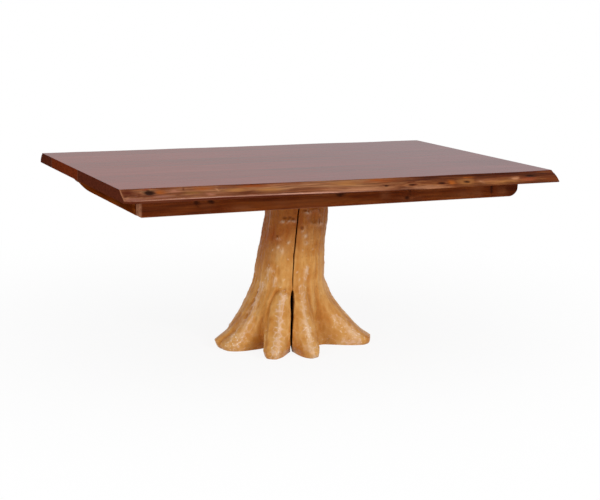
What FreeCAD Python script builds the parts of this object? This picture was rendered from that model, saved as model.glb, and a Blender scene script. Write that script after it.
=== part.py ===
import FreeCAD, Part
import math
import os
import re
import Sketcher
from FreeCAD import Vector

# A rustic dining table: a glued-up plank top with two live edges, an apron frame under it,
# cross battens, and a root-flared stump that carries it all through a steel plate.
# Lengths are millimetres. X runs along the top, the front faces -Y and the floor is at zero.

# Driving dimensions
SIZES = (
    ("top_length", "1829", "length of the top along X, 72 inches"),
    ("top_width", "1219", "width of the top over both live edges, 48 inches"),
    ("table_height", "762", "floor to the upper face of the top, 30 inches"),
    ("top_thick", "43", "thickness of the planks"),
    ("wane_width", "64", "how far the front live edge slopes out past the flat top"),
    ("back_wane_width", "38", "how far the back live edge slopes out"),
    ("wane_wander", "9", "how far the live edge's upper shoulder wanders along it"),
    ("nose_wander", "4", "how far the live edge's outer nose wanders along it"),
    ("nose_rise", "4", "height of the nose above the underside"),
    ("nose_tuck", "7", "how far the edge tucks back under its nose"),
    ("end_overhang", "97.5", "top beyond the apron at each end"),
    ("side_overhang", "151.5", "top beyond the apron at each live edge"),
    ("rail_depth", "75", "height of the apron rails"),
    ("rail_thick", "46", "thickness of the apron rails"),
    ("rail_end_radius", "42", "round on the lower corner of a long rail's free end"),
    ("rail_ease", "5", "easing of a long rail's other lower corner"),
    ("taper_run", "220", "length of the upward taper at one end of an end rail"),
    ("taper_rise", "28", "how far that taper lifts the end rail's lower edge"),
    ("tenon_long", "24", "stub tenon of an end rail, along its length"),
    ("tenon_thick", "16", "stub tenon thickness"),
    ("tenon_wide", "34", "stub tenon height"),
    ("tenon_drop", "14", "top of the tenon below the top of the rail"),
    ("joint_gap", "0.5", "glue room at the blind end of a housing or mortise"),
    ("batten_wide", "89", "width of a cross batten"),
    ("batten_thick", "44", "thickness of a cross batten"),
    ("inner_batten_x", "190", "centre of the two battens that sit on the plate"),
    ("outer_batten_inset", "211", "end rail's inner face to the centre of the outer batten"),
    ("housing_depth", "12", "housing in a long rail for a batten's end"),
    ("block_leg", "80", "leg of a corner block"),
    ("block_blunt", "12", "blunt tip of a corner block"),
    ("block_high", "44", "height of a corner block"),
    ("plate_long", "490", "pedestal plate along X"),
    ("plate_wide", "290", "pedestal plate along Y"),
    ("plate_thick", "8", "pedestal plate thickness"),
    ("plate_corner", "32", "corner radius of the pedestal plate"),
    ("trunk_x", "16", "centre of the stump's sawn top, right of the table's middle"),
    ("trunk_front", "7", "centre of the stump's sawn top, in front of the table's middle"),
    ("trunk_radius", "131", "mean radius of the stump's sawn top"),
    ("collar_swell", "31", "how much the trunk is thicker at the ground than at its top"),
    ("root_reach", "185", "how far the longest root stands out from the trunk"),
    ("flare_height", "300", "height at which the tallest root merges with the trunk"),
    ("check_mouth", "15", "mouth of the drying check where it opens between the roots"),
    ("check_depth", "95", "depth of the drying check where it is open"),
    ("lag_circle", "80", "radius of the ring of lag screws"),
    ("lag_shank", "10", "lag screw shank diameter"),
    ("lag_length", "95", "lag screw length below the head"),
    ("lag_head_high", "7", "lag screw head height"),
    ("lag_head_corner", "9.2", "lag screw head, centre to corner"),
    ("hole_gap", "0.5", "radial room of a through hole round its screw"),
    ("pilot_gap", "0.3", "radial room of a pilot hole round its screw"),
    ("screw_shank", "8", "shank diameter of the smaller lag screws"),
    ("screw_head_high", "5.4", "head height of the smaller lag screws"),
    ("screw_head_corner", "7.3", "head of the smaller lag screws, centre to corner"),
    ("screw_bite", "24", "how far the smaller lag screws enter the last piece"),
    ("plate_screw_pitch", "95", "spacing of the screws that hold the plate to a batten"),
    ("slot_travel", "6", "play of a batten screw across the top, each way"),
    ("overrun", "6", "how far a cutting tool runs past the face it opens"),
)

# Places of the glue joints across the top, as shares of its width from the middle
JOINT_SHARES = (-0.5, -0.296, -0.14, 0.016, 0.176, 0.342, 0.5)

# Stations along a live edge as shares of the top's length, and how the shoulder, the nose
# and the belly between them wander there, as shares of the named wander sizes
STATION_SHARES = (-0.56, -0.42, -0.3, -0.17, -0.04, 0.09, 0.21, 0.34, 0.45, 0.56)
FRONT_SHOULDER_SHARES = (0.2, -0.3, 0.5, 0.1, -0.4, 0.3, -0.1, 0.6, 0.1, 0.3)
FRONT_NOSE_SHARES = (0.3, 0.1, 0.6, 0.2, 0.9, 0.4, 0.7, 0.0, 0.4, 0.1)
FRONT_BELLY_SHARES = (0.02, 0.0, -0.03, 0.03, -0.02, 0.04, -0.01, 0.02, -0.03, 0.0)
FRONT_RISE_SHARES = (0.7, 0.7, 0.7, 0.7, 0.8, 1.2, 1.6, 1.9, 2.0, 2.1)
BACK_RISE_SHARES = (0.8, 1.0, 1.3, 1.1, 0.9, 1.2, 1.6, 1.3, 1.5, 1.8)
BACK_SHOULDER_SHARES = (-0.5, -0.3, 0.1, -0.4, 0.4, 0.0, -0.5, 0.2, -0.1, 0.3)
BACK_NOSE_SHARES = (0.2, 0.0, 0.5, 0.8, 0.3, 0.6, 0.1, 0.9, 0.3, 0.5)
BACK_BELLY_SHARES = (0.03, 0.01, -0.02, 0.02, 0.04, -0.02, 0.0, 0.03, -0.01, 0.02)
# The belly of the edge: how far in from the nose and how far up it lies
BELLY_IN_SHARE = 0.37
BELLY_UP_SHARE = 0.56

# The trunk's centre line: share of the stump's height, and its sideways shift there as a
# share of where the sawn top's centre lies
LEAN_SHARES = ((0.0, 0.0), (0.2, -0.5), (0.35, -0.56), (0.585, -0.15), (0.78, 0.63), (1.0, 1.0))
# The trunk thickens towards the ground along half a wave of this power of its height
SWELL_POWER_SHARE = 0.9
# Slow flutes round the trunk: lobes in a turn, share of the radius, turn in degrees
FLUTE_SHARES = ((2, 0.02, 40.0), (3, 0.022, 100.0), (5, 0.012, 15.0))
# Levels of the stump lie closer together towards the ground, by this power
STUMP_LEVEL_COUNT = 16
LEVEL_POWER_SHARE = 1.7
# Facets round a root, in half widths of that root, and their spacing between two roots
FACET_SHARES = (-1.6, -1.2, -0.8, -0.4, 0.0, 0.4, 0.8, 1.2, 1.6)
VALLEY_DEGREES = 9.0
# Number of lag screws in the ring and the turn of the first
FULL_DEGREES = 360
HEXAGON_SIDE_COUNT = 6
UPSIDE_DOWN = FreeCAD.Rotation(Vector(1, 0, 0), FULL_DEGREES / 2)
LAG_COUNT = 4
FIRST_LAG_DEGREES = 45
LAG_DEGREES = [
    FIRST_LAG_DEGREES + index * FULL_DEGREES / LAG_COUNT for index in range(LAG_COUNT)
]
# Rows of plate screws in a batten, as shares of their spacing from the middle
PLATE_ROW_SHARES = (-1.0, 1.0)
# Where the battens are screwed to the top, as shares of its width from the middle
OUTER_SCREW_SHARES = (-0.218, -0.062, 0.259)
INNER_SCREW_SHARES = (-0.218, 0.259)

# The seven roots: left, front left, front right, right, back right, back and back left. Each has
# its compass turn from +X and its half width, its reach and height as shares of the tallest
# root's, how square its sides are, and the power of the height still above by which it falls
ROOT_TURN_DEGREES = (-173.0, -127.6, -98.1, -31.0, 20.0, 76.0, 131.0)
ROOT_HALF_DEGREES = (20.0, 9.8, 11.4, 15.0, 13.0, 15.0, 12.5)
ROOT_REACH_SHARES = (1.0, 0.97, 0.9, 1.0, 0.86, 0.93, 0.88)
ROOT_TALL_SHARES = (1.0, 0.86, 1.0, 0.93, 0.85, 1.0, 0.9)
ROOT_SQUARE_SHARES = (3.6, 3.0, 3.0, 3.0, 2.8, 3.0, 2.8)
ROOT_FALL_SHARES = (2.1, 1.35, 1.35, 1.75, 1.5, 1.5, 1.5)
# A root ends in a blunt toe
TOE_SHARE = 0.1
TOE_TUCK_SHARE = 0.05
ROOT_SPREAD_SHARE = 0.9

# The drying check, from the floor to the sawn top: share of the stump's height, compass turn,
# share of the open mouth and share of the open depth
CHECK_SHARES = (
    (0.0, -113.0, 1.25, 1.0),
    (0.14, -112.2, 0.95, 0.95),
    (0.28, -111.0, 1.0, 0.8),
    (0.345, -110.5, 0.75, 0.6),
    (0.38, -110.2, 0.22, 0.4),
    (0.43, -109.8, 0.24, 0.4),
    (0.58, -110.0, 0.32, 0.46),
    (0.8, -110.2, 0.4, 0.5),
    (1.0, -107.5, 0.42, 0.5),
)
# Either side of the check's middle the facets keep clear by this turn, and its lips begin at
# this share of it
CHECK_DEGREES = -110.5
CLEAR_DEGREES = 7.5
LIP_SHARE = 0.6

doc = FreeCAD.newDocument("RusticStumpTable")
sheet = doc.addObject("Spreadsheet::Sheet", "Sizes")
for row, (alias, number, meaning) in enumerate(SIZES, start=1):
    sheet.set(f"A{row}", alias)
    sheet.set(f"B{row}", number)
    sheet.setAlias(f"B{row}", alias)
    sheet.set(f"C{row}", meaning)
doc.recompute()

ALIASES = sorted((alias for alias, number, meaning in SIZES), key=len, reverse=True)
ALIAS_WORD = re.compile(r"\b(" + "|".join(ALIASES) + r")\b")
sub_parts = []


def size(alias):
    return float(sheet.get(alias))


def linked(formula):
    # the same formula with each size named as a cell of the sheet
    return ALIAS_WORD.sub(r"Sizes.\1", formula)


def worth(formula):
    # the formula's value now
    return float(sheet.evalExpression(linked(formula)))


def bind(obj, settings):
    for prop, formula in settings.items():
        obj.setExpression(prop, linked(formula))


def place(obj, x="0", y="0", z="0", turn="0"):
    # the object's own origin goes to this point, turned about Z by so many degrees
    obj.setExpression("Placement.Base.x", linked(x))
    obj.setExpression("Placement.Base.y", linked(y))
    obj.setExpression("Placement.Base.z", linked(z))
    obj.Placement.Rotation = FreeCAD.Rotation(Vector(0, 0, 1), float(turn))
    return obj


def keep(obj, label):
    obj.Label = label
    sub_parts.append(obj)
    return obj


# Heights that several pieces share
UNDERSIDE = "table_height - top_thick"
PLATE_TOP = "table_height - top_thick - batten_thick"
STUMP_TOP = "table_height - top_thick - batten_thick - plate_thick"
# Where the apron's faces lie
RAIL_END = "(top_length / 2 - end_overhang)"
RAIL_FACE = "(top_width / 2 - side_overhang)"
RAIL_INSIDE = "(top_width / 2 - side_overhang - rail_thick)"
END_INSIDE = "(top_length / 2 - end_overhang - rail_thick)"
OUTER_BATTEN = "(top_length / 2 - end_overhang - rail_thick - outer_batten_inset)"
BATTEN_CENTRES = (f"-{OUTER_BATTEN}", "-inner_batten_x", "inner_batten_x", OUTER_BATTEN)


# Sketches whose corners are tied to the sheet


def new_body(name):
    body = doc.addObject("PartDesign::Body", name)
    body.AllowCompound = True
    return body


def origin_of(body, role):
    return next(item for item in body.Origin.OriginFeatures if item.Role == role)


def new_sketch(body, role, name, lift="0"):
    sketch = body.newObject("Sketcher::SketchObject", name)
    sketch.AttachmentSupport = [(origin_of(body, role), "")]
    sketch.MapMode = "FlatFace"
    sketch.setExpression("AttachmentOffset.Base.z", linked(lift))
    return sketch


def pin(sketch, geometry, point, across, up):
    # tie one point of the sketch to formulas for its two coordinates
    for kind, axis, formula in (("DistanceX", -2, across), ("DistanceY", -1, up)):
        amount = worth(formula)
        if abs(amount) < 1e-9:
            sketch.addConstraint(Sketcher.Constraint("PointOnObject", geometry, point, axis))
            continue
        row = sketch.addConstraint(Sketcher.Constraint(kind, -1, 1, geometry, point, amount))
        sketch.setExpression(f"Constraints[{row}]", linked(formula))


def add_outline(sketch, corners, rounds=None):
    # a closed outline through the corners; rounds gives the radius of an arc that leaves
    # a corner anticlockwise (positive side) or clockwise
    rounds = rounds or {}
    points = [Vector(worth(across), worth(up), 0) for across, up in corners]
    first = sketch.GeometryCount
    ends = []
    for index, start in enumerate(points):
        stop = points[(index + 1) % len(points)]
        if index not in rounds:
            geometry = sketch.addGeometry(Part.LineSegment(start, stop), False)
            ends.append((geometry, 1, 2))
            continue
        radius = worth(rounds[index])
        chord = stop - start
        middle = start + chord * 0.5
        inward = Vector(-chord.y, chord.x, 0).normalize()
        drop = math.sqrt(radius ** 2 - (chord.Length / 2) ** 2)
        centre = middle + inward * drop
        begin = math.atan2(start.y - centre.y, start.x - centre.x)
        finish = math.atan2(stop.y - centre.y, stop.x - centre.x)
        circle = Part.Circle(centre, Vector(0, 0, 1), radius)
        arc = Part.ArcOfCircle(circle, begin, finish)
        geometry = sketch.addGeometry(arc, False)
        ends.append((geometry, 1, 2))
    for index in range(len(points)):
        geometry, begin, finish = ends[index]
        following, follow_begin, follow_finish = ends[(index + 1) % len(points)]
        sketch.addConstraint(
            Sketcher.Constraint("Coincident", geometry, finish, following, follow_begin)
        )
    for index, (across, up) in enumerate(corners):
        pin(sketch, ends[index][0], ends[index][1], across, up)
    for index, radius in rounds.items():
        geometry = ends[index][0]
        row = sketch.addConstraint(Sketcher.Constraint("Radius", geometry, worth(radius)))
        sketch.setExpression(f"Constraints[{row}]", linked(radius))
    return first


def add_rectangle(sketch, low_x, high_x, low_y, high_y):
    add_outline(
        sketch,
        ((low_x, low_y), (high_x, low_y), (high_x, high_y), (low_x, high_y)),
    )


def add_circle(sketch, across, up, radius):
    centre = Vector(worth(across), worth(up), 0)
    circle = Part.Circle(centre, Vector(0, 0, 1), worth(radius))
    geometry = sketch.addGeometry(circle, False)
    pin(sketch, geometry, 3, across, up)
    row = sketch.addConstraint(Sketcher.Constraint("Radius", geometry, worth(radius)))
    sketch.setExpression(f"Constraints[{row}]", linked(radius))


def pad(body, sketch, name, length, reversed_way=False, midplane=False):
    feature = body.newObject("PartDesign::Pad", name)
    feature.Profile = sketch
    feature.Reversed = reversed_way
    feature.Midplane = midplane
    bind(feature, {"Length": length})
    doc.recompute()
    return feature


def pocket(body, sketch, name, depth):
    # cuts down from the sketch; a pocket that removes nothing is an error
    before = body.Shape.Volume
    feature = body.newObject("PartDesign::Pocket", name)
    feature.Profile = sketch
    bind(feature, {"Length": depth})
    doc.recompute()
    if not body.Shape.Volume < before:
        raise RuntimeError(f"{body.Name}: {name} cuts nothing")
    return feature


def edges_where(shape, test):
    return [f"Edge{i}" for i, edge in enumerate(shape.Edges, start=1) if test(edge)]


def round_edges(body, name, radius, test):
    base = body.Tip
    feature = body.newObject("PartDesign::Fillet", name)
    feature.Base = (base, edges_where(base.Shape, test))
    bind(feature, {"Radius": radius})
    doc.recompute()
    return feature


def lies_at(edge, **near):
    # true where the middle of the edge has these coordinates
    middle = edge.CenterOfMass
    return all(abs(getattr(middle, axis) - value) < 1e-4 for axis, value in near.items())


# Screws


def hex_screw(body, name, sizes, across="0", up="0"):
    # a hexagon head over a round shank; the head's bearing face is at the body's origin plane,
    # and sizes gives the shank, its length, the head's height and its centre to corner
    shank_wide, shank_long, head_high, corner = sizes
    head = body.newObject("PartDesign::AdditivePrism", f"{name}_head")
    head.Polygon = HEXAGON_SIDE_COUNT
    bind(head, {"Circumradius": corner, "Height": head_high})
    shank = body.newObject("PartDesign::AdditiveCylinder", f"{name}_shank")
    bind(shank, {"Radius": f"{shank_wide} / 2", "Height": shank_long})
    for feature, drop in ((head, "0"), (shank, f"-({shank_long})")):
        feature.AttachmentSupport = [(origin_of(body, "XY_Plane"), "")]
        feature.MapMode = "FlatFace"
        bind(feature, {
            "AttachmentOffset.Base.x": across,
            "AttachmentOffset.Base.y": up,
            "AttachmentOffset.Base.z": drop,
        })
    doc.recompute()
    return [head, shank]


def upward_screw(name, length):
    # one of the smaller lag screws, driven upward
    body = new_body(name)
    hex_screw(body, name, ("screw_shank", length, "screw_head_high", "screw_head_corner"))
    return body


def group(label, master, places):
    # one node that holds a copy of the master, head down, at each place as separate solids
    copies = []
    for point in places:
        copy = master.Shape.copy()
        copy.Placement = FreeCAD.Placement(point, UPSIDE_DOWN)
        copies.append(copy)
    feature = doc.addObject("Part::Feature", label)
    feature.Shape = Part.makeCompound(copies)
    return keep(feature, label)


def compound(name, shapes):
    feature = doc.addObject("Part::Feature", name)
    feature.Shape = Part.makeCompound(shapes)
    return feature


def cut(name, base, tool):
    feature = doc.addObject("Part::Cut", name)
    feature.Base = base
    feature.Tool = tool
    doc.recompute()
    return feature


def lofted(name, wires):
    # a solid run straight from each wire to the next
    sections = []
    for index, wire in enumerate(wires):
        section = doc.addObject("Part::Feature", f"{name}_level_{index}")
        section.Shape = wire
        sections.append(section)
    loft = doc.addObject("Part::Loft", name)
    loft.Sections = sections
    loft.Solid = True
    loft.Ruled = True
    doc.recompute()
    return loft


# Places of the screws

underside = worth(UNDERSIDE)
batten_screw_places = []
for centre, row_shares in zip(
    BATTEN_CENTRES,
    (OUTER_SCREW_SHARES, INNER_SCREW_SHARES, INNER_SCREW_SHARES, OUTER_SCREW_SHARES),
):
    for row_share in row_shares:
        row_y = row_share * size("top_width")
        batten_screw_places.append(Vector(worth(centre), row_y, worth(PLATE_TOP)))

plate_screw_places = []
for way in (-1, 1):
    for row_share in PLATE_ROW_SHARES:
        row_y = row_share * size("plate_screw_pitch")
        plate_screw_places.append(Vector(way * size("inner_batten_x"), row_y, worth(STUMP_TOP)))


# The top


def pilot_holes():
    # blind holes up into the planks for every screw that ends in them
    radius = size("screw_shank") / 2 + size("pilot_gap")
    start = underside - size("overrun")
    length = size("overrun") + size("screw_bite") + size("pilot_gap")
    holes = []
    for point in batten_screw_places:
        holes.append(Part.makeCylinder(radius, length, Vector(point.x, point.y, start)))
    return compound("pilot_holes", holes)


def live_edge(name, side, width, joint_share, shoulders, noses, bellies, rises):
    # the wandering sloped edge, as a solid that runs past the plank's flat faces; the front
    # one is the back one's pattern turned half round, with places of its own
    over = size("overrun")
    low = underside
    high = size("table_height")
    inner = joint_share * size("top_width") - side * over
    sections = []
    rows = zip(STATION_SHARES, shoulders, noses, bellies, rises)
    for station, shoulder, nose, belly, rise in rows:
        along = side * station * size("top_length")
        nose_y = side * (size("top_width") / 2 - nose * size("nose_wander"))
        wane = size(width) + shoulder * size("wane_wander")
        belly_in = nose_y - side * wane * (BELLY_IN_SHARE - belly)
        belly_up = low + size("top_thick") * (BELLY_UP_SHARE + belly)
        shoulder_y = nose_y - side * wane
        heel = Vector(along, inner, low - over)
        tuck = Vector(along, nose_y - side * size("nose_tuck"), low - over)
        tip = Vector(along, nose_y, low + rise * size("nose_rise"))
        belly_point = Vector(along, belly_in, belly_up)
        crest = Vector(along, shoulder_y, high)
        crown = Vector(along, inner, high + over)
        edges = [
            Part.LineSegment(heel, tuck).toShape(),
            Part.LineSegment(tuck, tip).toShape(),
            Part.Arc(tip, belly_point, crest).toShape(),
            Part.LineSegment(crest, crown).toShape(),
            Part.LineSegment(crown, heel).toShape(),
        ]
        sections.append(Part.Wire(edges))
    return lofted(name, sections)


def planks():
    labels = (
        "top_plank_front_live_edge",
        "top_plank_2",
        "top_plank_3",
        "top_plank_4",
        "top_plank_5",
        "top_plank_back_live_edge",
    )
    edges = {
        labels[0]: live_edge(
            "front_wane", -1, "wane_width", JOINT_SHARES[1],
            FRONT_SHOULDER_SHARES, FRONT_NOSE_SHARES, FRONT_BELLY_SHARES, FRONT_RISE_SHARES,
        ),
        labels[-1]: live_edge(
            "back_wane", 1, "back_wane_width", JOINT_SHARES[-2],
            BACK_SHOULDER_SHARES, BACK_NOSE_SHARES, BACK_BELLY_SHARES, BACK_RISE_SHARES,
        ),
    }
    holes = pilot_holes()
    for label, low_share, high_share in zip(labels, JOINT_SHARES, JOINT_SHARES[1:]):
        board = doc.addObject("Part::Box", f"{label}_board")
        bind(board, {
            "Length": "top_length",
            "Width": f"top_width * ({high_share} - ({low_share}))",
            "Height": "top_thick",
        })
        place(board, "-top_length / 2", f"top_width * ({low_share})", UNDERSIDE)
        blank = board
        if label in edges:
            blank = doc.addObject("Part::Common", f"{label}_waned")
            blank.Base = board
            blank.Tool = edges[label]
        doc.recompute()
        keep(cut(f"{label}_drilled", blank, holes), label)


# The apron


def long_rail(label, side_turn, way):
    # its outer face is at the body's origin plane, its free end points along +X
    body = new_body(label)
    sketch = new_sketch(body, "XZ_Plane", f"{label}_face")
    add_rectangle(sketch, f"-{RAIL_END}", RAIL_END, "-rail_depth", "0")
    pad(body, sketch, f"{label}_board", "rail_thick", reversed_way=True)
    end = worth(RAIL_END)
    depth = size("rail_depth")
    round_edges(
        body, f"{label}_free_end", "rail_end_radius",
        lambda edge: lies_at(edge, x=end, z=-depth),
    )
    round_edges(
        body, f"{label}_eased_end", "rail_ease",
        lambda edge: lies_at(edge, x=-end, z=-depth),
    )
    housings = new_sketch(body, "XY_Plane", f"{label}_housings")
    for centre in BATTEN_CENTRES:
        add_rectangle(
            housings,
            f"{centre} - batten_wide / 2",
            f"{centre} + batten_wide / 2",
            "rail_thick - housing_depth",
            "rail_thick + overrun",
        )
    pocket(body, housings, f"{label}_housing_cuts", "batten_thick")
    mortises = new_sketch(body, "XY_Plane", f"{label}_mortises", "-tenon_drop")
    for side in ("-", ""):
        centre = f"{side}({RAIL_END} - rail_thick / 2)"
        add_rectangle(
            mortises,
            f"{centre} - tenon_thick / 2",
            f"{centre} + tenon_thick / 2",
            "rail_thick - tenon_long - joint_gap",
            "rail_thick + overrun",
        )
    pocket(body, mortises, f"{label}_mortise_cuts", "tenon_wide")
    place(body, "0", f"{way}{RAIL_FACE}", UNDERSIDE, side_turn)
    keep(body, label)


def end_rail(label, turn, way):
    # its outer face is at the body's origin plane, its taper points along +Y
    body = new_body(label)
    sketch = new_sketch(body, "YZ_Plane", f"{label}_face")
    corners = (
        (f"-{RAIL_INSIDE}", "-rail_depth"),
        (f"{RAIL_INSIDE} - taper_run", "-rail_depth"),
        (RAIL_INSIDE, "-rail_depth + taper_rise"),
        (RAIL_INSIDE, "0"),
        (f"-{RAIL_INSIDE}", "0"),
    )
    taper = "(taper_run ^ 2 + taper_rise ^ 2) / (2 * taper_rise)"
    add_outline(sketch, corners, {1: taper})
    pad(body, sketch, f"{label}_board", "rail_thick")
    tenon = new_sketch(body, "XY_Plane", f"{label}_tenons", "-tenon_drop")
    add_rectangle(
        tenon,
        "rail_thick / 2 - tenon_thick / 2",
        "rail_thick / 2 + tenon_thick / 2",
        f"-({RAIL_INSIDE} + tenon_long)",
        f"{RAIL_INSIDE} + tenon_long",
    )
    pad(body, tenon, f"{label}_tenon_bar", "tenon_wide", reversed_way=True)
    place(body, f"{way}{RAIL_END}", "0", UNDERSIDE, turn)
    keep(body, label)


def corner_block(label, way_x, way_y, turn):
    body = new_body(label)
    sketch = new_sketch(body, "XY_Plane", f"{label}_outline")
    corners = (
        ("0", "0"),
        ("block_leg", "0"),
        ("block_leg", "block_blunt"),
        ("block_blunt", "block_leg"),
        ("0", "block_leg"),
    )
    add_outline(sketch, corners)
    pad(body, sketch, f"{label}_block", "block_high", reversed_way=True)
    place(body, f"{way_x}{END_INSIDE}", f"{way_y}{RAIL_INSIDE}", UNDERSIDE, turn)
    keep(body, label)


# The battens and their screws


def slotted_hole(point):
    # clearance slot for one batten screw, long across the top
    travel = size("slot_travel")
    radius = size("screw_shank") / 2 + size("hole_gap")
    start = worth(PLATE_TOP) - size("overrun")
    length = size("batten_thick") + 2 * size("overrun")
    corner = Vector(point.x - radius, point.y - travel, start)
    slot = Part.makeBox(2 * radius, 2 * travel, length, corner)
    for shift in (-travel, travel):
        slot = slot.fuse(Part.makeCylinder(radius, length, Vector(point.x, point.y + shift, start)))
    return slot.removeSplitter()


def battens():
    slots = compound("batten_slots", [slotted_hole(point) for point in batten_screw_places])
    radius = size("screw_shank") / 2 + size("pilot_gap")
    start = worth(PLATE_TOP) - size("overrun")
    length = size("overrun") + size("screw_bite") + size("pilot_gap")
    pilots = []
    for point in plate_screw_places:
        pilots.append(Part.makeCylinder(radius, length, Vector(point.x, point.y, start)))
    pilot_tool = compound("plate_screw_pilots", pilots)
    names = ("batten_left", "batten_inner_left", "batten_inner_right", "batten_right")
    for label, centre in zip(names, BATTEN_CENTRES):
        bar = doc.addObject("Part::Box", f"{label}_bar")
        reach = f"({RAIL_INSIDE} + housing_depth - joint_gap)"
        bind(bar, {"Length": "batten_wide", "Width": f"2 * {reach}", "Height": "batten_thick"})
        place(bar, f"{centre} - batten_wide / 2", f"-{reach}", PLATE_TOP)
        slotted = cut(f"{label}_slotted", bar, slots)
        if "inner" in label:
            slotted = cut(f"{label}_drilled", slotted, pilot_tool)
        keep(slotted, label)


# The steel plate on the stump, and its fasteners


def pedestal_plate():
    body = new_body("pedestal_plate")
    sketch = new_sketch(body, "XY_Plane", "plate_outline")
    add_rectangle(
        sketch, "-plate_long / 2", "plate_long / 2", "-plate_wide / 2", "plate_wide / 2"
    )
    pad(body, sketch, "plate_blank", "plate_thick")
    round_edges(
        body, "plate_corners", "plate_corner",
        lambda edge: edge.BoundBox.ZLength > size("plate_thick") / 2,
    )
    holes = new_sketch(body, "XY_Plane", "plate_holes", "plate_thick")
    for angle in LAG_DEGREES:
        add_circle(
            holes,
            f"trunk_x + lag_circle * cos({angle} deg)",
            f"lag_circle * sin({angle} deg) - trunk_front",
            "lag_shank / 2 + hole_gap",
        )
    for way in ("-", ""):
        for row_share in PLATE_ROW_SHARES:
            add_circle(
                holes,
                f"{way}inner_batten_x",
                f"({row_share}) * plate_screw_pitch",
                "screw_shank / 2 + hole_gap",
            )
    pocket(body, holes, "plate_hole_cuts", "plate_thick")
    place(body, "0", "0", STUMP_TOP)
    keep(body, "pedestal_plate")


def lag_screws():
    # the shanks point down into the stump
    body = new_body("lag_screws")
    first = hex_screw(
        body, "lag", ("lag_shank", "lag_length", "lag_head_high", "lag_head_corner"),
        f"lag_circle * cos({FIRST_LAG_DEGREES} deg)", f"lag_circle * sin({FIRST_LAG_DEGREES} deg)",
    )
    ring = body.newObject("PartDesign::PolarPattern", "lag_ring")
    ring.Originals = first
    ring.Axis = (origin_of(body, "Z_Axis"), [""])
    ring.Angle = FULL_DEGREES
    ring.Occurrences = LAG_COUNT
    body.Tip = ring
    doc.recompute()
    place(body, "trunk_x", "-trunk_front", PLATE_TOP)
    keep(body, "lag_screws")


# The stump


def root_profile(left, fall):
    # how far a root stands out, as a share of its reach; left is the height still above
    if left <= 0:
        return 0.0
    if left < 1 - TOE_SHARE:
        return (left / (1 - TOE_SHARE)) ** fall
    tuck = (left - (1 - TOE_SHARE)) / TOE_SHARE
    return 1 - TOE_TUCK_SHARE * tuck ** 2


def root_lobe(turn_degrees, root_turn, half_width, squareness):
    apart = abs((turn_degrees - root_turn + 180) % 360 - 180)
    return math.exp(-math.log(2) * (apart / half_width) ** squareness)


def stump_radius(turn_degrees, level):
    # distance from the trunk's centre line to the surface
    swell = (1 + math.cos(math.pi * level ** SWELL_POWER_SHARE)) / 2
    radius = size("trunk_radius") + swell * size("collar_swell")
    wave = 1.0
    for lobes, share, turn in FLUTE_SHARES:
        wave += share * math.cos(math.radians(lobes * (turn_degrees - turn)))
    radius *= wave
    for root_turn, half_width, reach, tall, squareness, fall in zip(
        ROOT_TURN_DEGREES, ROOT_HALF_DEGREES, ROOT_REACH_SHARES, ROOT_TALL_SHARES,
        ROOT_SQUARE_SHARES, ROOT_FALL_SHARES,
    ):
        gone = level * worth(STUMP_TOP) / (tall * size("flare_height"))
        wide = half_width * (1 + ROOT_SPREAD_SHARE * gone)
        lobe = root_lobe(turn_degrees, root_turn, wide, squareness - min(gone, 1))
        radius += reach * size("root_reach") * root_profile(1 - gone, fall) * lobe
    return radius


def lean_at(level):
    # the centre line's shift, run straight between the named levels
    for (low, low_shift), (high, high_shift) in zip(LEAN_SHARES, LEAN_SHARES[1:]):
        if level <= high:
            return low_shift + (high_shift - low_shift) * (level - low) / (high - low)
    return LEAN_SHARES[-1][1]


def facet_turns():
    # the compass turns of the stump's facets: close on the roots, wider in the valleys, and
    # none where the check's lips are
    turns = []
    roots = list(zip(ROOT_TURN_DEGREES, ROOT_HALF_DEGREES))
    for index, (root_turn, half_width) in enumerate(roots):
        last_turn = roots[index - 1][0]
        next_turn, next_half = roots[(index + 1) % len(roots)]
        gap = (next_turn - root_turn) % FULL_DEGREES
        before = (root_turn - last_turn) % FULL_DEGREES
        leave = FACET_SHARES[-1] * half_width
        arrive = gap + FACET_SHARES[0] * next_half
        if arrive < leave:
            leave = arrive = gap * half_width / (half_width + next_half)
        for share in FACET_SHARES:
            offset = share * half_width
            if offset < leave and -offset < before / 2:
                turns.append(root_turn + offset)
        steps = max(1, round((arrive - leave) / VALLEY_DEGREES))
        for step in range(steps):
            turns.append(root_turn + leave + (arrive - leave) * (step + 0.5) / steps)
    clear = [turn for turn in turns if abs(turn - CHECK_DEGREES) > CLEAR_DEGREES]
    return sorted(turn % FULL_DEGREES for turn in clear)


def check_at(level):
    # the check's turn, mouth share and depth share, run straight between the named levels
    for low, high in zip(CHECK_SHARES, CHECK_SHARES[1:]):
        if level <= high[0]:
            part = (level - low[0]) / (high[0] - low[0])
            return [a + (b - a) * part for a, b in zip(low[1:], high[1:])]
    return list(CHECK_SHARES[-1][1:])


def stump_ring(level):
    # one closed level of the stump, as points; the check is a thin notch in it
    lean = lean_at(level)
    height = level * worth(STUMP_TOP)
    centre = Vector(lean * size("trunk_x"), -lean * size("trunk_front"), height)

    def point_at(turn, sunk):
        across = Vector(math.cos(math.radians(turn)), math.sin(math.radians(turn)), 0)
        return centre + across * (stump_radius(turn, level) - sunk)

    check_turn, mouth_share, depth_share = check_at(level)
    half_mouth = mouth_share * size("check_mouth") / 2
    half_turn = math.degrees(half_mouth / stump_radius(check_turn, level))
    lip_turn = LIP_SHARE * CLEAR_DEGREES
    depth = depth_share * size("check_depth")
    notch = [
        (check_turn - lip_turn, 0),
        (check_turn - half_turn, 0),
        (check_turn, depth),
        (check_turn + half_turn, 0),
        (check_turn + lip_turn, 0),
    ]
    rows = [(turn, 0) for turn in facet_turns()]
    rows.extend((turn % FULL_DEGREES, sunk) for turn, sunk in notch)
    rows.sort()
    return [point_at(turn, sunk) for turn, sunk in rows]


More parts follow.
